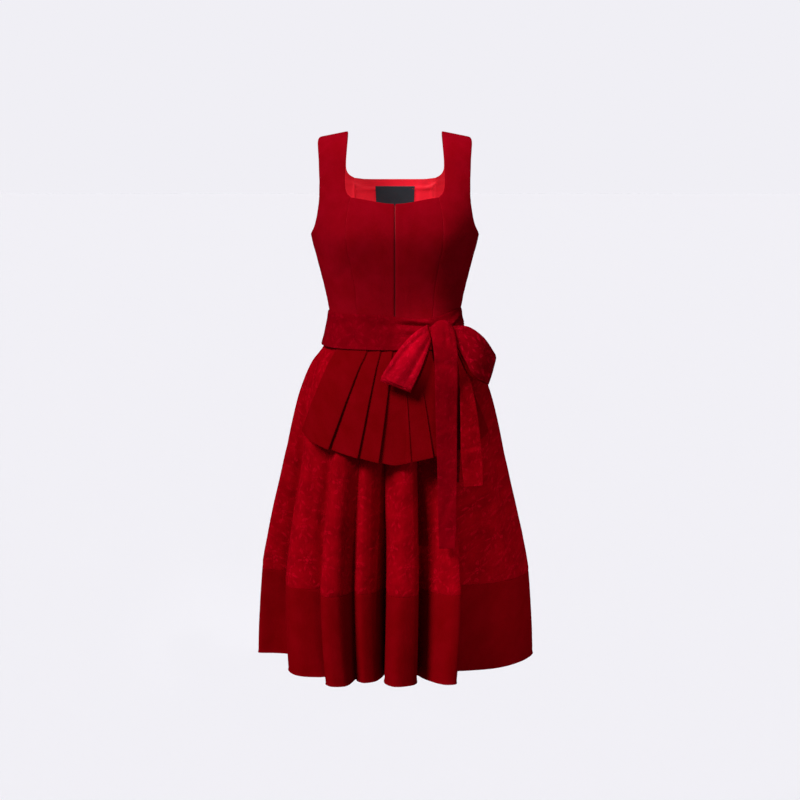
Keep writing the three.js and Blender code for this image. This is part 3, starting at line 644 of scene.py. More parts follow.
def back_middle(inset=0, extra=None):
    right = middle_panel("back", 1, 0, inset, extra)
    left = middle_panel("back", -1, 0, inset, extra)
    return [a[:0:-1] + b for a, b in zip(left, right)]


FRONT_SIDE_CUT = (0.150, 0.470, 0.0410)
BACK_SIDE_CUT = (0.160, 0.470, 0.0420)
BACK_MIDDLE_CUT = (0.180, 0.310, 0.0440)

for side, hand in (("left", -1), ("right", 1)):
    grid, faces = middle_panel("front", hand, OPENING), (CREPE, SATIN)
    sew(f"bodice_front_middle_{side}", grid, BODICE_CLOTH, faces)
    for face, cut in (("front", FRONT_SIDE_CUT), ("back", BACK_SIDE_CUT)):
        sew(f"bodice_{face}_side_{side}", side_panel(face, hand), BODICE_CLOTH, faces)
sew("bodice_back_middle", back_middle(), BODICE_CLOTH, (CREPE, SATIN))

# ---- Back lining ----
# Coral satin in three panels, sewn to the bodice at the neckline and armholes. It is a little too full
# for the back, so it lies in shallow ripples under the neck.

LINING_CLOTH = 1.0
LINING_INSET = BODICE_CLOTH + 0.3
LINING_RIPPLES = [
    (150, -112, 208, -116, 3, -1.6), (132, -118, 150, -150, 4, -3), (158, -100, 156.5, -150, 2, -2.2),
    (151, -98, 163, -116, 2.6, -1.6), (204.5, -100, 206, -150, 2, -2.2), (211, -100, 199, -112, 2.6, -1.6),
    (228, -116, 210, -152, 4, -3), (160, -152, 200, -158, 5, -0.9), (156, -160, 150, -260, 9, -1.6),
    (200, -170, 206, -280, 10, -1.8), (120, -200, 136, -260, 9, -1.5), (240, -196, 226, -270, 9, -1.6),
    (170, -300, 196, -318, 7, -1.3),
]


def lining_lift(angle, z):
    """The lining only ever ripples inwards, away from the bodice."""
    return min(creased(LINING_RIPPLES, wrapped(angle), z, ROUND), 0)


BACK_LINING = [
    ("lining_back_middle", back_middle(LINING_INSET, lining_lift), BACK_MIDDLE_CUT),
    ("lining_back_side_left", side_panel("back", -1, LINING_INSET, lining_lift), BACK_SIDE_CUT),
    ("lining_back_side_right", side_panel("back", 1, LINING_INSET, lining_lift), BACK_SIDE_CUT),
]
for node, grid, cut in BACK_LINING:
    sew(node, grid, LINING_CLOTH, (SATIN, SATIN))

# ---- Neck label ----
# A bare woven label in charcoal, sewn flat on the lining along its two short ends.

LABEL = {"half_angle": 11.5 * DEG, "low": -149, "high": -109, "thickness": 0.8}
LABEL_RISE = 0.5  # its middle stands off by this, and its folded ends are thicker
LABEL_END = {"at": 0.045, "width": 0.012}  # shares of its width
LABEL_INSET = LINING_INSET + LINING_CLOTH + 1


def inside_strip(middle, half_angle, low, high, inset, lift, across, rows):
    """A strip inside the bodice round an angle, with a lift for each share across and down it."""

    def point(u, v):
        angle, arc = middle + (2 * u - 1) * half_angle, arc_of(between(high, low, v))
        return torso(angle, arc) + torso_out(angle, arc) * (lift(u, v) - inset)

    return [[point(u, v) for u in steps(across)] for v in steps(rows)]


def label_lift(u, v):
    """The ends are turned under and sewn down; between them the label stands a little off."""
    ends = min(u, 1 - u)
    standing = math.sin(math.pi * u) * math.sin(math.pi * v)
    return LABEL_RISE * hump(ends - LABEL_END["at"], LABEL_END["width"]) - LABEL_RISE * standing


LABEL_TAPE = tape_material(
    "charcoal_label", threads=1800.0, mottle=60.0, roughness=0.55, shine=0.35, relief=0.08,
    dark=(0.010, 0.017, 0.023, 1), light=(0.016, 0.026, 0.033, 1),
)
grid = inside_strip(
    math.pi, LABEL["half_angle"], LABEL["low"], LABEL["high"], LABEL_INSET, label_lift, across=60, rows=20
)
sew(
    "neck_label", grid, LABEL["thickness"], (LABEL_TAPE, LABEL_TAPE),
)

# ---- Zip ----
# A hidden zip: two tapes whose folded edges meet in the gap of the front opening, the coil behind them.
# It is sewn under the two front middles and runs from the neckline to the waist.

ZIP = {"half_angle": 4.6 * DEG, "half_width": 11, "short": 3, "thickness": 0.9, "clearance": 1.6}
TAPE_FOLD = {"at": 1.1, "width": 0.8, "rise": 0.5}
TAPE_MEETING = 0.5  # width of the groove between the folds
ZIP_TAPE = tape_material(
    "zip_tape", threads=900.0, mottle=40.0, roughness=0.75, shine=0.2, relief=0.1,
    dark=(0.26, 0.006, 0.011, 1), light=(0.44, 0.014, 0.022, 1),
)


def tape_lift(u, v):
    """The two folded edges stand up on both sides of the line where they meet."""
    off = abs(2 * u - 1) * ZIP["half_width"]
    return TAPE_FOLD["rise"] * (hump(off - TAPE_FOLD["at"], TAPE_FOLD["width"]) - hump(off, TAPE_MEETING))


ZIP_LOW, ZIP_HIGH = WAIST_SEAM + ZIP["short"], FRONT_NECK[0][0] - ZIP["short"]
ZIP_INSET = BODICE_CLOTH + ZIP["clearance"]
grid = inside_strip(
    0, ZIP["half_angle"], ZIP_LOW, ZIP_HIGH, ZIP_INSET, tape_lift, across=40, rows=60
)
sew(
    "zip_tape", grid, ZIP["thickness"], (ZIP_TAPE, ZIP_TAPE),
)

# ---- Skirt ----
# Brocade front and back, joined at the side seams and set into the waist. It is cut flared and falls in
# deep soft folds that grow towards the hem.

SKIRT_CLOTH = 1.6
HEM = -1052
BAND_SEAM = -880

# The skirt's section before it folds, and how far its folds have grown: 0 at the waist, 1 at the hem.
SKIRT = table(
    "z half front back grow square",
    (WAIST_SEAM, 134, 97, 88, 0, TORSO_SQUARENESS), (-421, 142, 112, 103, 0.06, 0.08),
    (-456, 167, 125, 117, 0.15, 0.06), (-512, 190, 134, 129, 0.28, 0.04), (-573, 206, 139, 136, 0.4, 0.02),
    (-634, 219, 142, 141, 0.52, 0), (-695, 232, 144.5, 144, 0.63, 0), (-756, 246, 147, 147, 0.74, 0),
    (-818, 259, 148.5, 148.5, 0.83, 0), (-872, 269, 149.5, 149.5, 0.9, 0), (-984, 277.5, 150, 150, 0.98, 0),
    (HEM, 280, 150, 150, 1, 0),
)

# The folds at the hem, from the left side round the front and on round the back: degrees from the front
# middle, and reach, where 1 lies on the unfolded section. hangs is where each one's cloth starts at the
# waist.
FOLDS = table(
    "hangs near crest far valley",
    (-90, (-90, 0.99), (-89, 0.87), (-84, 0.76), (-68, 0.75)),
    (-60, (-42, 1.12), (-31, 1.29), (-24.5, 1.27), (-20.8, 1.2)),
    (-31, (-17.8, 1.55), (-14.9, 1.64), (-12.3, 1.6), (-12.2, 1.27)),
    (-17, (-10.7, 1.37), (-8.5, 1.43), (-5.8, 1.36), (-3.4, 0.95)),
    (2, (-2.5, 1.46), (0.4, 1.59), (5.2, 1.5), (7.6, 1.02)),
    (20.5, (9.8, 1.3), (13.2, 1.54), (15.9, 1.53), (21, 0.97)),
    (40, (28, 0.99), (43, 1.03), (62, 1.0), (89, 1.0)),
    (90, (106, 1.0), (120, 1.08), (134, 1.12), (145, 0.97)),
    (120, (145.5, 1.3), (151, 1.44), (156, 1.4), (160.5, 1.06)),
    (147, (161.5, 1.42), (166.5, 1.55), (171, 1.49), (174.5, 1.12)),
    (173, (175, 1.47), (180.5, 1.58), (185.5, 1.51), (189.5, 1.05)),
    (201, (190.5, 1.41), (195.5, 1.53), (200.5, 1.46), (206, 1.0)),
    (229, (207, 1.28), (214, 1.37), (222, 1.26), (230, 0.92)),
    (257, (238, 1.05), (248, 1.07), (258, 1.0), (264, 0.99)),
)
WAIST_ANGLES = [row["hangs"] * DEG for row in FOLDS] + [270 * DEG]
FOLD_PARTS = ("near", "crest", "far", "valley")
FOLD_STEPS = len(FOLD_PARTS) * 7  # seven columns between one turn of the hem and the next
FRONT_FOLDS = 7  # the first seven folds are the front piece
SETTLE_POWER = 0.8  # how soon the folds leave their even spread at the waist


def closed_curve(corners, count):
    """Evenly shared points of a smooth closed line through its corners, by centripetal steps."""
    points = []
    for i in range(count):
        place = i / count * len(corners)
        k, t = int(place), place - int(place)
        p = [corners[(k + n) % len(corners)] for n in (-1, 0, 1, 2)]
        gaps = [math.sqrt((b - a).length) for a, b in zip(p, p[1:])]
        start = (p[1] - p[0]) / gaps[0] - (p[2] - p[0]) / (gaps[0] + gaps[1]) + (p[2] - p[1]) / gaps[1]
        end = (p[2] - p[1]) / gaps[1] - (p[3] - p[1]) / (gaps[1] + gaps[2]) + (p[3] - p[2]) / gaps[2]
        start, end = start * gaps[1], end * gaps[1]
        bend = p[1] * -3 + p[2] * 3 - start * 2 - end
        twist = p[1] * 2 - p[2] * 2 + start + end
        points.append(p[1] + start * t + bend * t**2 + twist * t**3)
    return points


def hem_line():
    """For each column of the skirt: angle, reach, and the angle that it hangs from at the waist."""
    turns = [row[part] for row in FOLDS for part in FOLD_PARTS]
    corners = [Vector((r * math.sin(a * DEG), r * math.cos(a * DEG))) for a, r in turns]
    count, side = len(FOLDS) * FOLD_STEPS, FRONT_FOLDS * FOLD_STEPS
    placed = closed_curve(corners, count)
    lengths = [0]
    for i in range(1, count + 1):
        step = placed[i % count] - placed[i - 1]
        lengths.append(lengths[-1] + math.hypot(step.x * SKIRT[-1]["half"], step.y * SKIRT[-1]["front"]))
    line = []
    for i, p in enumerate(placed):
        angle = math.atan2(p.x, p.y)
        if i > side and angle < 0:
            angle += 2 * math.pi
        fold = i // FOLD_STEPS
        first, last = lengths[fold * FOLD_STEPS], lengths[(fold + 1) * FOLD_STEPS]
        share = (lengths[i] - first) / (last - first)
        line.append((angle, p.length, between(WAIST_ANGLES[fold], WAIST_ANGLES[fold + 1], share)))
    return line, side


HEM_LINE, SIDE_COLUMN = hem_line()


def skirt_point(place, z):
    angle, reach, waist = place
    settled = max(0, (z - WAIST_SEAM) / (HEM - WAIST_SEAM)) ** SETTLE_POWER
    turn = between(waist, angle, settled)
    out = 1 + (reach - 1) * column(SKIRT, "grow", z)
    depth = column(SKIRT, "front" if math.cos(turn) > 0 else "back", z)
    x, y = section_point(turn, column(SKIRT, "half", z), depth, column(SKIRT, "square", z))
    return Vector((x * out, y * out, z))


SKIRT_ROUND = 4.2  # millimetres of skirt in a degree of waist, half way down
# Long shallow dents and ridges in the folds: degrees round the waist and height at both ends, width, rise.
SKIRT_CREASES = [
    (-84, -430, -70, -560, 9, -4), (-78.5, -560, -78.5, -980, 15, -14), (-78, -470, -74, -640, 7, 3),
    (-66, -500, -58, -700, 12, -5), (-70, -690, -76, -860, 16, 5), (-52, -600, -49, -780, 11, 4),
    (-40, -640, -42, -800, 10, -4), (-28, -700, -24, -840, 9, 3), (-6, -620, -2, -760, 14, 3),
    (2, -700, 4, -860, 9, -3), (21, -500, 20.6, -840, 11, -14), (46, -560, 50, -740, 14, -5),
    (56, -600, 60, -850, 12, 5), (66, -520, 68, -760, 12, -5), (74, -620, 78, -860, 14, 5),
    (82, -440, 84, -640, 10, -4), (96, -470, 102, -700, 12, -5), (110, -520, 114, -760, 14, 5),
    (128, -480, 126, -700, 12, -5), (146, -560, 150, -780, 11, 4), (166, -600, 164, -800, 12, -4),
    (184, -540, 188, -760, 13, 4), (204, -600, 202, -820, 11, -4), (222, -520, 226, -740, 13, 5),
    (242, -480, 238, -700, 12, -5), (256, -540, 258, -800, 14, 5), (264, -440, 262, -620, 10, -4),
]


GATHERS = {"depth": 2.2, "fade": 55}


def gathers(waist, z):
    """Small folds where the fullness is eased into the waist; they fade out below it."""
    fade = math.exp((z - WAIST_SEAM) / GATHERS["fade"])
    wave = math.sin(waist * 31 + 2.2 * math.sin(waist * 5)) * 0.5 + math.sin(waist * 47 + 1) * 0.3
    return -GATHERS["depth"] * fade * (0.8 + wave)


def skirt_grid(first, last, heights, extra):
    """Columns from one side seam to the other, each point moved out by its creases."""
    places = [HEM_LINE[i % len(HEM_LINE)] for i in range(first, last + 1)]
    plain = [[skirt_point(place, z) for place in places] for z in heights]
    grid = []
    for r, row in enumerate(plain):
        above, below = plain[max(r - 1, 0)], plain[min(r + 1, len(plain) - 1)]
        moved = []
        for c, point in enumerate(row):
            before, after = row[max(c - 1, 0)], row[min(c + 1, len(row) - 1)]
            out = (below[c] - above[c]).cross(after - before).normalized()
            waist, z = places[c][2], heights[r]
            off_seam = smooth(min(c, len(row) - 1 - c) / 3)
            lift = extra(waist, z) + creased(SKIRT_CREASES, waist, z, SKIRT_ROUND) * off_seam
            moved.append(point + out * lift)
        for end, inner in ((0, 1), (-1, -2)):
            along = (moved[inner] - moved[end]).normalized()
            moved[end] += along * SEAM_GAP / 2
        grid.append(moved)
    return grid


# The brocade's figure, in millimetres on the cloth: a scrolling stem with leaves, a large flower and a
# small one. Every second column of the repeat drops by half.
REPEAT = (86, 116)
FIGURE_SCALE = 0.55  # the figure is drawn larger than it is woven
FIGURE_DRIFT = (0.014, 0.014, 0)  # metres: how far its lines wander, so that no two flowers are the same
LEAVES = table(
    "at turn size",
    ((16, 30), 38, (15, 5.2)), ((-17, 34), 128, (14, 5)), ((27, 4), -24, (13, 4.6)),
    ((-27, 0), 205, (13, 4.6)), ((20, -26), -48, (15, 5)), ((-14, -30), 232, (15, 5.2)),
    ((4, 44), 84, (9, 3.4)), ((3, -46), 262, (9, 3.4)), ((33, 40), 70, (8, 3)), ((-33, -36), 250, (8, 3)),
)
FLOWERS = table(
    "at radius petals depth",
    ((0, 4), 16, 6, 0.2), ((34, -48), 8, 5, 0.26), ((-34, 50), 6, 5, 0.26),
)


FLOWER_TURN = 12  # degrees
FLOWER_RING = 0.42  # of its radius: the ground shows in a ring round the middle
VEIN = (3.0, -0.25)  # and in a narrow line along a leaf
STEM = {"swing": 9.0, "half_width": 0.35, "slope": 0.28}


def damask():
    """A mask for the satin figure of the brocade: 1 on it and 0 on the ground."""
    tree, takes, gives = new_group("damask_figure", {"Cloth": "Vector"}, {"Figure": "Float"})
    calc = partial(maths, tree)
    split = add_node(tree, "SeparateXYZ", {0: takes["Cloth"]})
    wide, tall = REPEAT
    across = calc("DIVIDE", split.outputs["X"], wide * MM * FIGURE_SCALE)
    drop = calc("MULTIPLY", calc("MODULO", calc("ABSOLUTE", calc("FLOOR", across)), 2.0), 0.5)
    down = calc("ADD", calc("DIVIDE", split.outputs["Y"], tall * MM * FIGURE_SCALE), drop)
    x = calc("MULTIPLY", calc("SUBTRACT", calc("FRACT", across), 0.5), wide)
    y = calc("MULTIPLY", calc("SUBTRACT", calc("FRACT", down), 0.5), tall)
    cell = add_node(tree, "CombineXYZ", {"X": x, "Y": y}).outputs[0]

    def local(at, turn, size):
        """Coordinates from a motif's own middle, along its own axes, as shares of its size."""
        feeds = {"Vector": cell, "Location": (*at, 0), "Rotation": (0, 0, turn * DEG), "Scale": (*size, 1)}
        node = add_node(tree, "Mapping", feeds, vector_type="TEXTURE")
        parts = add_node(tree, "SeparateXYZ", {0: node.outputs[0]}).outputs
        return parts["X"], parts["Y"]

    inside = []
    for leaf in LEAVES:
        along, side = local(leaf["at"], leaf["turn"], leaf["size"])
        off = calc("ABSOLUTE", side)
        lens = calc("SUBTRACT", calc("MULTIPLY_ADD", calc("MULTIPLY", along, along), -1.0, 1.0), off)
        inside.append(calc("MINIMUM", lens, calc("MULTIPLY_ADD", off, *VEIN)))
    for flower in FLOWERS:
        along, side = local(flower["at"], FLOWER_TURN, (flower["radius"], flower["radius"]))
        far = calc("SQRT", calc("ADD", calc("MULTIPLY", along, along), calc("MULTIPLY", side, side)))
        turn = calc("ARCTAN2", side, along)
        petals = calc("COSINE", calc("MULTIPLY", turn, float(flower["petals"])))
        rim = calc("SUBTRACT", calc("MULTIPLY_ADD", petals, flower["depth"], 1 - flower["depth"]), far)
        off = calc("ABSOLUTE", calc("SUBTRACT", far, FLOWER_RING))
        inside.append(calc("MINIMUM", rim, calc("MULTIPLY_ADD", off, *VEIN)))
    swing = calc("MULTIPLY", calc("SINE", calc("MULTIPLY", y, 4 * math.pi / tall)), STEM["swing"])
    off = calc("ABSOLUTE", calc("SUBTRACT", x, swing))
    inside.append(calc("SUBTRACT", STEM["half_width"], calc("MULTIPLY", off, STEM["slope"])))
    best = reduce(partial(calc, "MAXIMUM"), inside)
    wire(tree, gives["Figure"], calc("MULTIPLY", best, 4.0, clamp=True))
    return tree


DAMASK = damask()


def brocade_material(name, ground, figure):
    """Tone-on-tone brocade: a ribbed dull ground and a floral figure that stands up in satin."""
    material, tree, surface, place, weave = woven(name, 1100.0, 30.0, roughness=0.7, shine=0)
    calc = partial(maths, tree)
    feeds = {0: noise(tree, place, 60)["Color"], 1: FIGURE_DRIFT, 2: place}
    drifted = add_node(tree, "VectorMath", feeds, operation="MULTIPLY_ADD")
    motif = use_group(tree, DAMASK, Cloth=drifted.outputs[0])["Figure"]
    # The figure is worn in patches, and where it is clear its floats carry painted highlights: glints painted
    # into its colour.
    worn = calc("MULTIPLY_ADD", noise(tree, place, 32, 3)[0], 4.2, -1.5, clamp=True)
    clear = calc("MULTIPLY", motif, calc("MULTIPLY_ADD", worn, 0.75, 0.25))
    painted_glints = calc("MULTIPLY_ADD", noise(tree, place, 420)[0], 5.0, -2.6, clamp=True)
    dark = tuple(c * 0.68 for c in ground[:3]) + (1,)
    # the colour of the painted highlights
    light = tuple(c * 1.35 for c in figure[:3]) + (1,)
    tone = calc("MULTIPLY_ADD", weave["Tone"], 3.0, -1.0, clamp=True)
    figured = blend_colours(tree, clear, blend_colours(tree, tone, dark, ground), figure)
    painted_highlight = calc("MULTIPLY", calc("MULTIPLY", painted_glints, clear), 0.6)
    wire(tree, surface["Base Color"], blend_colours(tree, painted_highlight, figured, light))
    wire(tree, surface["Roughness"], calc("MULTIPLY_ADD", motif, -0.2, 0.7))
    sheen(surface, 0.02, 0.5, (1, 0.0, 0.05, 1))
    wire(tree, surface["Normal"], bump(tree, motif, 0.16, bump(tree, weave["Height"], 0.10)))
    return material


BROCADE = brocade_material("red_brocade", (0.305, 0.0003, 0.0046, 1), (0.405, 0.0008, 0.009, 1))
REVERSE = crepe_material("brocade_reverse", (0.13, 0.0002, 0.001, 1), (0.18, 0.0004, 0.002, 1))

BAND_ROLL = {"width": 2.0, "depth": 0.6}
ALLOWANCE = {"above": 9, "width": 6, "rise": 0.4}  # the seam's turned edge shows through


def brocade_lift(waist, z):
    ridge = ALLOWANCE["rise"] * hump(z - BAND_SEAM - ALLOWANCE["above"], ALLOWANCE["width"])
    return gathers(waist, z) + rolled(z - BAND_SEAM, BAND_ROLL) + ridge


SKIRT_TOP = WAIST_SEAM - SEAM_GAP
SKIRT_BOTTOM = BAND_SEAM + SEAM_GAP / 2
SKIRT_ROWS = 66
SKIRT_HEIGHTS = [between(SKIRT_TOP, SKIRT_BOTTOM, t) for t in closer_at_ends(SKIRT_ROWS)]
SKIRT_COLUMNS = {"front": (0, SIDE_COLUMN), "back": (SIDE_COLUMN, len(HEM_LINE))}

for face, columns in SKIRT_COLUMNS.items():
    grid = skirt_grid(*columns, SKIRT_HEIGHTS, brocade_lift)
    sew(f"skirt_{face}", grid, SKIRT_CLOTH, (BROCADE, REVERSE))

# ---- Hem band ----
# A broad band of the bodice's crepe, sewn to the brocade all round. Its lower edge is turned up and
# caught 8 mm above the fold, where it shows as a fine line.

HEM_TURN = {"above": 8, "width": 1.1, "depth": 0.5}
HEM_FLARE = {"width": 1.3, "depth": 1.1}  # the fold itself stands out a little and catches the light
# A darker copy of the bodice's crepe: painted shade for the hem band, which lies lower and gets less light.
SHADED_SKIRT_CREPE = crepe_material("skirt_crepe_painted_shade", (0.154, 0.0003, 0.0010, 1), (0.216, 0.0006, 0.0036, 1))
BAND_TOP = BAND_SEAM - SEAM_GAP / 2
BAND_ROWS = 40
BAND_HEIGHTS = [between(BAND_TOP, HEM, t) for t in closer_at_ends(BAND_ROWS)]


def band_lift(waist, z):
    turn = -HEM_TURN["depth"] * hump(z - HEM - HEM_TURN["above"], HEM_TURN["width"])
    fold = -rolled(z - HEM, HEM_FLARE)
    return turn + fold + rolled(BAND_SEAM - z, BAND_ROLL)


for face, columns in SKIRT_COLUMNS.items():
    grid, faces = skirt_grid(*columns, BAND_HEIGHTS, band_lift), (SHADED_SKIRT_CREPE, REVERSE)
    rests_on = [f"skirt_{face}_cloth"]
    sew(f"hem_band_{face}", grid, SKIRT_CLOTH, faces)

# ---- Peplum ----
# One crepe panel laid in seven knife pleats over the front of the skirt, longest in the middle. It is
# sewn in at the waist under the sash, and the pleats are pressed and hang free.

PEPLUM_CLOTH = 1.5
# A darker copy of the bodice's crepe: painted shade for the peplum, which lies under the bow.
SHADED_PEPLUM_CREPE = crepe_material("peplum_crepe_painted_shade", (0.136, 0.0003, 0.0009, 1), (0.194, 0.0006, 0.0034, 1))
PLEATS = table(
    "top low rise",
    (-52, -50, 1), (-18.2, -25.8, 1.15), (-9.2, -13.4, 1.1), (-1, -5.6, 1.2), (5.5, 6.3, 0.32),
    (13, 14.6, 0.55), (24, 28, 0.7), (52, 49, 1),
)
PEPLUM_REACH = {"fullness": 0.7, "width": 50 * DEG}
PEPLUM_GAP = {"top": 0.5, "low": 3}
PEPLUM_LENGTH = {"middle": 245, "end_rise": 68, "end_angle": 62 * DEG, "power": 1.05}
PLEAT_RISE = {"top": 2.2, "low": 8}
PLEAT_LAP = {"top": -1.2, "low": 2.2}
# A pleat's section, as shares of the way to its edge and of its rise: its face, its edge and its under fold.
PLEAT_FACE = ((0.35, 0.45), (0.7, 0.75))
PLEAT_FALL, PLEAT_UNDER = 0.75, 0.28
PLEAT_EDGE = 0.15  # degrees: how sharp its edge and its under fold are pressed
PEPLUM_ENDS = (0.3, 0.6)  # shares of the rise at its first and last edge
PLEAT_POINTS, PLEAT_FACE_POINTS = 6, 3  # of a pleated line, in each pleat
PEPLUM_WAIST = 0.09  # how far its two ends are drawn in half way down
PEPLUM_ROWS = 44
PEPLUM_ROUND = 3.4  # millimetres in a degree
PEPLUM_CREASES = [
    (-52, -450, -34, -500, 14, -1.2), (-44, -560, -36, -600, 12, 1.2), (-22, -470, -24, -580, 9, -1.0),
    (-2, -520, 0, -620, 8, -1.0), (20, -500, 22, -600, 9, -0.9), (40, -440, 50, -540, 12, -1.4),
]


def over_skirt(angle, z, away):
    crests = PEPLUM_REACH["fullness"] * math.exp(-((angle / PEPLUM_REACH["width"]) ** 4))
    reach = 1 + crests * column(SKIRT, "grow", z)
    half = column(SKIRT, "half", z) * reach + away
    depth = column(SKIRT, "front", z) * reach + away
    x, y = section_point(angle, half, depth, column(SKIRT, "square", z))
    return Vector((x, y, z))


def pleat_line(v):
    """The pleated line at a share of the peplum's length: degrees, and rise over the skirt. A pleat rises
    over its face and drops at its edge, under which the next one starts."""
    edges = [between(row["top"], row["low"], v) for row in PLEATS]
    drawn_in = 1 - PEPLUM_WAIST * math.sin(math.pi * v)
    edges[0], edges[-1] = edges[0] * drawn_in, edges[-1] * drawn_in
    full_rise = between(PLEAT_RISE["top"], PLEAT_RISE["low"], v)
    lap = between(PLEAT_LAP["top"], PLEAT_LAP["low"], v)
    line = [(edges[0], full_rise * PEPLUM_ENDS[0])]
    for number, (start, edge) in enumerate(zip(edges, edges[1:])):
        rise = full_rise * PLEATS[number + 1]["rise"]
        line += [(between(start, edge, share), rise * high) for share, high in PLEAT_FACE]
        if number == len(edges) - 2:
            line.append((edge, rise * PEPLUM_ENDS[1]))
        else:
            line += [(edge - PLEAT_EDGE, rise), (edge, rise * PLEAT_FALL)]
            line += [(edge - lap, rise * PLEAT_UNDER), (edge - lap + PLEAT_EDGE, 0)]
    return line


def resampled(line, broad, narrow):
    """More points on a pleated line: many on its broad faces, few in its folds."""
    points = [line[0]]
    for i in range(1, len(line)):
        count = broad if (i - 1) % PLEAT_POINTS < PLEAT_FACE_POINTS else narrow
        points += [tuple(between(a, b, t) for a, b in zip(line[i - 1], line[i])) for t in steps(count)[1:]]
    return points


def softened(points, rounds):
    for _ in range(rounds):
        inner = [(a + b * 2 + c) / 4 for a, b, c in zip(points, points[1:], points[2:])]
        points = [points[0]] + inner + [points[-1]]
    return points


def peplum_grid():
    grid = []
    for v in steps(PEPLUM_ROWS):
        row = []
        for degrees, rise in resampled(pleat_line(v), broad=9, narrow=3):
            ends = min(abs(degrees * DEG) / PEPLUM_LENGTH["end_angle"], 1) ** PEPLUM_LENGTH["power"]
            length = PEPLUM_LENGTH["middle"] - PEPLUM_LENGTH["end_rise"] * ends
            z = WAIST_SEAM - SEAM_GAP - v * length
            away = between(PEPLUM_GAP["top"], PEPLUM_GAP["low"], v) + PEPLUM_CLOTH + rise
            away += creased(PEPLUM_CREASES, degrees * DEG, z, PEPLUM_ROUND)
            row.append(over_skirt(degrees * DEG, z, away))
        grid.append(softened(row, 2))
    return grid


sew(
    "peplum", peplum_grid(), PEPLUM_CLOTH, (SHADED_PEPLUM_CREPE, SHADED_PEPLUM_CREPE),
)

# ---- Sash band ----
# A wide strip of the brocade, wrapped flat round the waist over the seam and joined at the sides. It is
# smooth on the left and drawn into creases towards the knot.

SASH_CLOTH = 1.5
# A darker copy of the skirt's brocade for the band and the long tail: painted shade.
SHADED_SASH_BROCADE = brocade_material("sash_brocade_painted_shade", (0.210, 0.0001, 0.0042, 1), (0.246, 0.0003, 0.0065, 1))
BAND = table(
    "z half front back",
    (-352, 133, 98, 87.5), (-368, 135, 101, 89.5), (WAIST_SEAM, 138.5, 107, 93.5), (-403, 142.5, 116, 101),
    (-418, 147, 124.4, 108.5),
)
# Its top edge is pulled down and up beside the knot.
BAND_PULLS = table("at width rise", (20, 22, -8), (70, 20, 8))
BAND_CREASES = [
    (30, -377, 2, -370, 3.2, -5.5), (32, -368, 6, -361, 3.4, 3.2), (30, -385, 4, -380, 4, 3.6),
    (27, -392, -2, -394, 3.6, -3.2), (24, -401, 2, -404, 4, 2.2), (-12, -372, 4, -377, 5, -2.4),
    (-26, -388, -4, -386, 6, 1.6), (-64, -376, -40, -372, 7, -1.4), (-84, -398, -58, -402, 5, -1.4),
    (-40, -404, -18, -410, 5, -1.4), (46, -376, 76, -346, 3.8, 4.5), (52, -382, 82, -358, 3.4, -5),
    (54, -390, 84, -370, 3.8, 4), (56, -398, 86, -384, 3.6, -4), (58, -408, 86, -400, 4, 2),
    (96, -376, 128, -384, 5, -1.4), (108, -396, 150, -402, 5, -1.6), (140, -368, 176, -376, 5, 1.2),
    (176, -398, 214, -392, 5, -1.5), (204, -370, 240, -378, 6, -1.2), (236, -404, 264, -396, 5, -1.4),
]
BAND_ROUND = 2.2  # millimetres in a degree
SASH_ROWS, SASH_COLUMNS = 26, 150


def band_grid(face, start):
    gap = SEAM_GAP / 2 / BAND[0]["half"]
    grid = []
    for v in closer_at_ends(SASH_ROWS):
        row = []
        for u in steps(SASH_COLUMNS):
            angle = between(start * DEG + gap, (start + 180) * DEG - gap, u)
            pulled = sum(p["rise"] * hump(angle / DEG - p["at"], p["width"]) for p in BAND_PULLS)
            top, bottom = BAND[0]["z"] + pulled, BAND[-1]["z"]
            z = between(top, bottom, v)
            lift = creased(BAND_CREASES, angle, z, BAND_ROUND)
            lift += rolled(top - z, EDGE_ROLL) + rolled(z - bottom, EDGE_ROLL)
            half, depth = column(BAND, "half", z) + lift, column(BAND, face, z) + lift
            x, y = section_point(angle, half, depth, TORSO_SQUARENESS)
            row.append(Vector((x, y, z)))
        grid.append(row)
    return grid


for face, start in (("front", -90), ("back", 90)):
    grid, faces = band_grid(face, start), (SHADED_SASH_BROCADE, REVERSE)
    sew(f"sash_band_{face}", grid, SASH_CLOTH, faces)

# ---- Sash knot ----
# The long end is brought up behind the band and over the bow, which squeezes the brocade into upright
# folds. It sits on the band, right of the middle.

# A much brighter copy of the brocade for the knot and the left loop: painted light and painted sheen,
# standing in for the light its satin face catches.
LIT_LOOP_BROCADE = brocade_material("loop_brocade_painted_light", (0.46, 0.0008, 0.011, 1), (0.56, 0.002, 0.018, 1))
KNOT = {"middle": Vector((91, -108.4, -386)), "half_width": 23, "half_height": 24, "half_depth": 14.6}
KNOT_TURN = 26 * DEG
KNOT_ROWS, KNOT_COLUMNS = 40, 72
KNOT_FOLDS = table(
    "side width depth",
    (-72, 8, 0.22), (-44, 7, 0.24), (-17, 6, 0.14), (12, 7, 0.16), (40, 6, 0.20), (68, 8, 0.20),
)


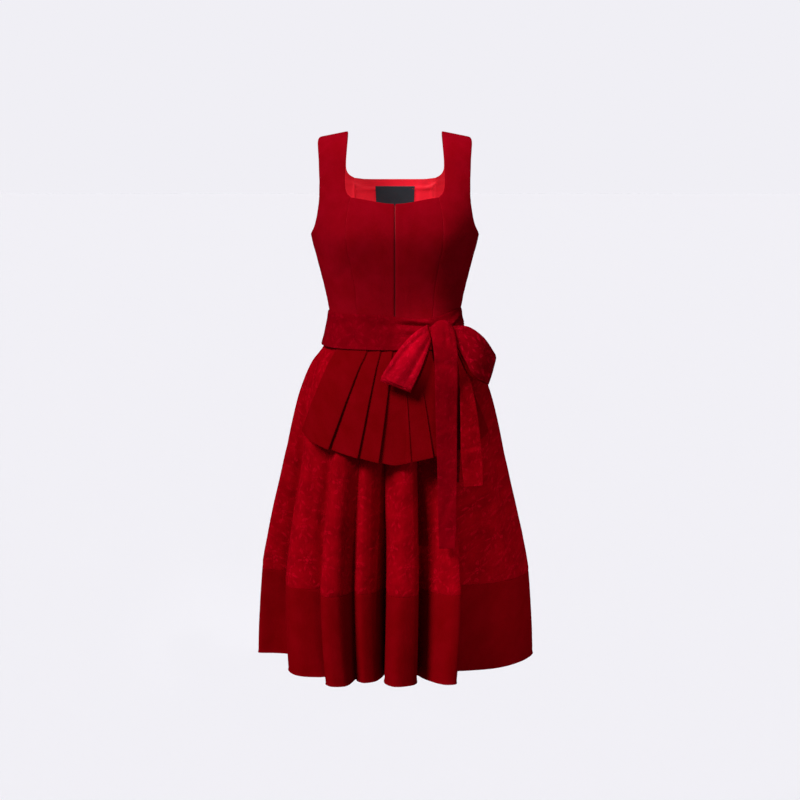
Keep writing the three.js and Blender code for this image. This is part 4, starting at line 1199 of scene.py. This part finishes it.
def knot_grid():
    grid = []
    for v in steps(KNOT_ROWS):
        tilt = between(2, 178, v) * DEG
        spread = 0.8 + 0.2 * math.cos(tilt)
        row = []
        for u in steps(KNOT_COLUMNS):
            side = between(-180, 180, u)
            fold = sum(f["depth"] * hump(side - f["side"] * spread, f["width"]) for f in KNOT_FOLDS)
            size = 1 - fold * math.sin(tilt)
            x = KNOT["half_width"] * math.sin(tilt) * math.sin(side * DEG) * size
            y = -KNOT["half_depth"] * math.sin(tilt) * math.cos(side * DEG) * size
            z = KNOT["half_height"] * math.cos(tilt)
            turned_x = x * math.cos(KNOT_TURN) - y * math.sin(KNOT_TURN)
            turned_y = x * math.sin(KNOT_TURN) + y * math.cos(KNOT_TURN)
            row.append(KNOT["middle"] + Vector((turned_x, turned_y, z)))
        grid.append(row)
    return grid


sew(
    "sash_knot", knot_grid(), SASH_CLOTH, (LIT_LOOP_BROCADE, REVERSE),
    KNOT["middle"],
)

# ---- Bow loops ----
# Each loop is one length of the sash that goes out from the knot along its back layer, turns round its
# tip and returns along its front layer. It is gathered small where the knot holds it.

# A copy of the brocade for the right loop, with a darker ground and a brighter figure than the sash: painted
# shade on the ground and painted highlights on the figure.
RIGHT_LOOP_PAINTED_BROCADE = brocade_material("right_loop_brocade_painted_light_and_shade", (0.195, 0.0001, 0.0040, 1), (0.340, 0.0008, 0.0100, 1))
LOOPS = {
    "left": {
        "facing": Vector((-0.15, -0.98, 0.12)).normalized(),
        "rows": table(
            "x depth z up_x up_z gap",
            (66.6, 112, -384, -4, 14, 6), (52, 132, -401, -11, 20, 17), (31, 154, -431, -20, 21, 24),
            (6.5, 173, -471, -28, 13.5, 18),
        ),
        "tip": {"x": 1.5, "depth": 177, "z": -482, "up_x": -29, "up_z": 11},
        "cloth": LIT_LOOP_BROCADE,
    },
    "right": {
        "facing": Vector((0.35, -0.93, 0.1)).normalized(),
        "rows": table(
            "x depth z up_x up_z gap",
            (113.5, 109, -387, 0, 15, 6), (134, 124, -401, 5, 29, 17), (157, 130, -428, 10, 36, 24),
            (181, 122, -452, 8, 29, 19),
        ),
        "tip": {"x": 188, "depth": 118, "z": -460, "up_x": 7, "up_z": 25},
        "cloth": RIGHT_LOOP_PAINTED_BROCADE,
    },
}
LOOP_CROWN = 0.15
LOOP_PULLS = {"folds": 3.5, "phase": 1.1, "depth": 2, "fade": 0.2, "start": 12}  # they run out of the knot
LOOP_SWELL = 4  # the front layer bulges between the knot and the tip
LOOP_ROWS, LOOP_COLUMNS = 96, 24
LOOP_LENGTH, LOOP_ROUND = 115, 26  # millimetres: of a layer, and half way across it
# Creases of the front layer: share across (1 is its upper edge) and millimetres from the knot at both
# ends, width, rise.
LOOP_CREASES = [
    (0.35, 6, 0.72, 62, 4, -3.4), (-0.15, 8, 0.15, 74, 6, 2.2), (-0.6, 8, -0.5, 54, 4, -3.4),
    (0.9, 92, -0.3, 104, 5, -1.8), (-0.9, 60, -0.1, 88, 5, -1.5),
]


def loop_grid(loop):
    rows, tip = loop["rows"], loop["tip"]
    last = rows[-1]

    def section(row, side):
        return (row["x"], -row["depth"], row["z"], row["up_x"], row["up_z"], side * row["gap"] / 2)

    def round_tip(degrees):
        ahead = math.cos(degrees * DEG)
        values = [between(a, b, ahead) for a, b in zip(section(last, 0), section({**tip, "gap": 0}, 0))]
        return tuple(values[:5]) + (-last["gap"] / 2 * math.sin(degrees * DEG),)

    out = [section(row, -1) for row in rows]
    back = [section(row, 1) for row in reversed(rows)]
    path = out + [round_tip(degrees) for degrees in (60, 30, 0, -30, -60)] + back
    grid = []
    for v in steps(LOOP_ROWS):
        x, y, z, up_x, up_z, lift = curve_through(path, v)
        from_knot = min(v, 1 - v) * 2
        pull = LOOP_PULLS["depth"] * math.exp(-from_knot / LOOP_PULLS["fade"])
        pull *= smooth(from_knot * LOOP_PULLS["start"])
        row = []
        for u in steps(LOOP_COLUMNS):
            across = 2 * u - 1
            crown = lift * (1 - LOOP_CROWN * across * across)
            ripple = pull * math.sin(across * math.pi * LOOP_PULLS["folds"] / 2 + LOOP_PULLS["phase"])
            side = 1 if lift > 0 else -1
            edge = Vector((up_x, 0, up_z)) * across
            lift_here = crown - side * abs(ripple) * 0.6
            if v > 0.5:
                lift_here += LOOP_SWELL * math.sin(math.pi * from_knot) * (1 - across * across)
                lift_here += creased(LOOP_CREASES, across * DEG, from_knot * LOOP_LENGTH, LOOP_ROUND)
            row.append(Vector((x, y, z)) + edge + loop["facing"] * lift_here)
        grid.append(row)
    return grid


for side, loop in LOOPS.items():
    grid = loop_grid(loop)
    middle = sum((point for row in grid for point in row), Vector()) / (len(grid) * len(grid[0]))
    faces, rests_on = (loop["cloth"], REVERSE), ["sash_knot_cloth"]
    sew(f"sash_loop_{side}", grid, SASH_CLOTH, faces, middle)

# ---- Sash tails ----
# The two free ends hang from the knot over the peplum and skirt, with a few creases from being tied. The
# long one comes down over the front of the knot, the short one from under it.

TAILS = {
    "long": table(
        "z x depth half turn arch round",
        (-368, 91, 103, 18, 12, 15, 9), (-361, 91.5, 109, 20, 11, 15, 9), (-361.5, 92, 116, 21.5, 9, 12, 9),
        (-369, 92.5, 124, 22.5, 7, 7, 9), (-384, 94, 133, 23, 6, 3, 7), (-402, 96, 140.5, 23.2, 8, 1, 4),
        (-426, 98, 143.5, 23, 10), (-456, 98.5, 146, 22.5, 12), (-508, 98.8, 159, 22, 16),
        (-560, 98.8, 177, 21, 16), (-625, 99.6, 198, 19.6, 14), (-694, 99.6, 209, 17.8, 6),
        (-740, 99.8, 215, 17, 4), (-786, 99.4, 221, 15, 4),
    ),
    "short": table(
        "z x depth half turn",
        (-398, 115.5, 101.8, 6, 26), (-414, 122, 103, 8, 34), (-440, 130, 105, 10.5, 40),
        (-470, 134.8, 118, 13.5, 40), (-505, 139.6, 133.5, 17.5, 38), (-549, 143.6, 154.5, 21.5, 36),
        (-600, 146.4, 176, 24, 34), (-635, 148.8, 183, 23, 30), (-672, 151, 186.5, 20.5, 26),
    ),
}
# In TAILS, arch is how much lower the edges are than the middle, where the tail goes over the knot, and
# round how much further back. Creases: share across (-1 to 1) and height at both ends, width, rise.
TAIL_CREASES = {
    "long": [
        (-0.5, -372, -0.62, -398, 3.2, -1.5), (0.22, -364, 0.1, -408, 4, -1.8),
        (0.62, -374, 0.66, -404, 3.4, -1.4), (-0.15, -366, -0.25, -410, 4.5, 1.4),
        (-1, -438, 1, -446, 6, -1.4), (-1, -600, 1, -606, 4, -1.8), (-1, -566, 0.8, -560, 5, -1.6),
        (-0.8, -574, 1, -570, 5, 1.2), (1, -660, -0.9, -752, 7, -2.0), (-0.2, -470, 0.1, -540, 6, 0.8),
    ],
    "short": [
        (-1, -603, 1, -596, 4, -1.3), (-1, -612, 1, -605, 5, 0.9), (-1, -472, 1, -462, 5, 2.2),
        (-1, -484, 1, -476, 4, -2), (-1, -566, 1, -560, 4, -0.9), (-1, -574, 1, -569, 5, 0.8),
        (-0.6, -500, 0.8, -532, 6, -1.4), (-0.3, -600, 0.2, -650, 6, -0.9),
    ],
}
TAIL_ROWS, TAIL_COLUMNS = 150, 32
TAIL_ROLL = {"width": 1.2, "depth": 0.5}
TAIL_ARCH_POWER = 2.4


def tail_grid(name):
    parts = ("z", "x", "depth", "half", "turn", "arch", "round")
    rows = [tuple(row.get(part, 0) for part in parts) for row in TAILS[name]]
    grid = []
    for v in steps(TAIL_ROWS):
        z, x, depth, half, turn, arch, back = curve_through(rows, v)
        sin, cos = math.sin(turn * DEG), math.cos(turn * DEG)
        row = []
        for u in closer_at_ends(TAIL_COLUMNS):
            share = 2 * u - 1
            across = share * half
            lift = creased(TAIL_CREASES[name], share * DEG, z, half) - back * share**2
            lift += rolled((1 - abs(share)) * half, TAIL_ROLL)
            high = z - arch * abs(share) ** TAIL_ARCH_POWER
            point = Vector((x + across * cos, -depth + across * sin, high))
            row.append(point + Vector((sin, -cos, 0)) * lift)
        grid.append(row)
    return grid


for name, cloth in (("long", SHADED_SASH_BROCADE), ("short", BROCADE)):
    grid, faces, rests_on = tail_grid(name), (cloth, REVERSE), ["sash_knot_cloth"]
    sew(f"sash_tail_{name}", grid, SASH_CLOTH, faces)
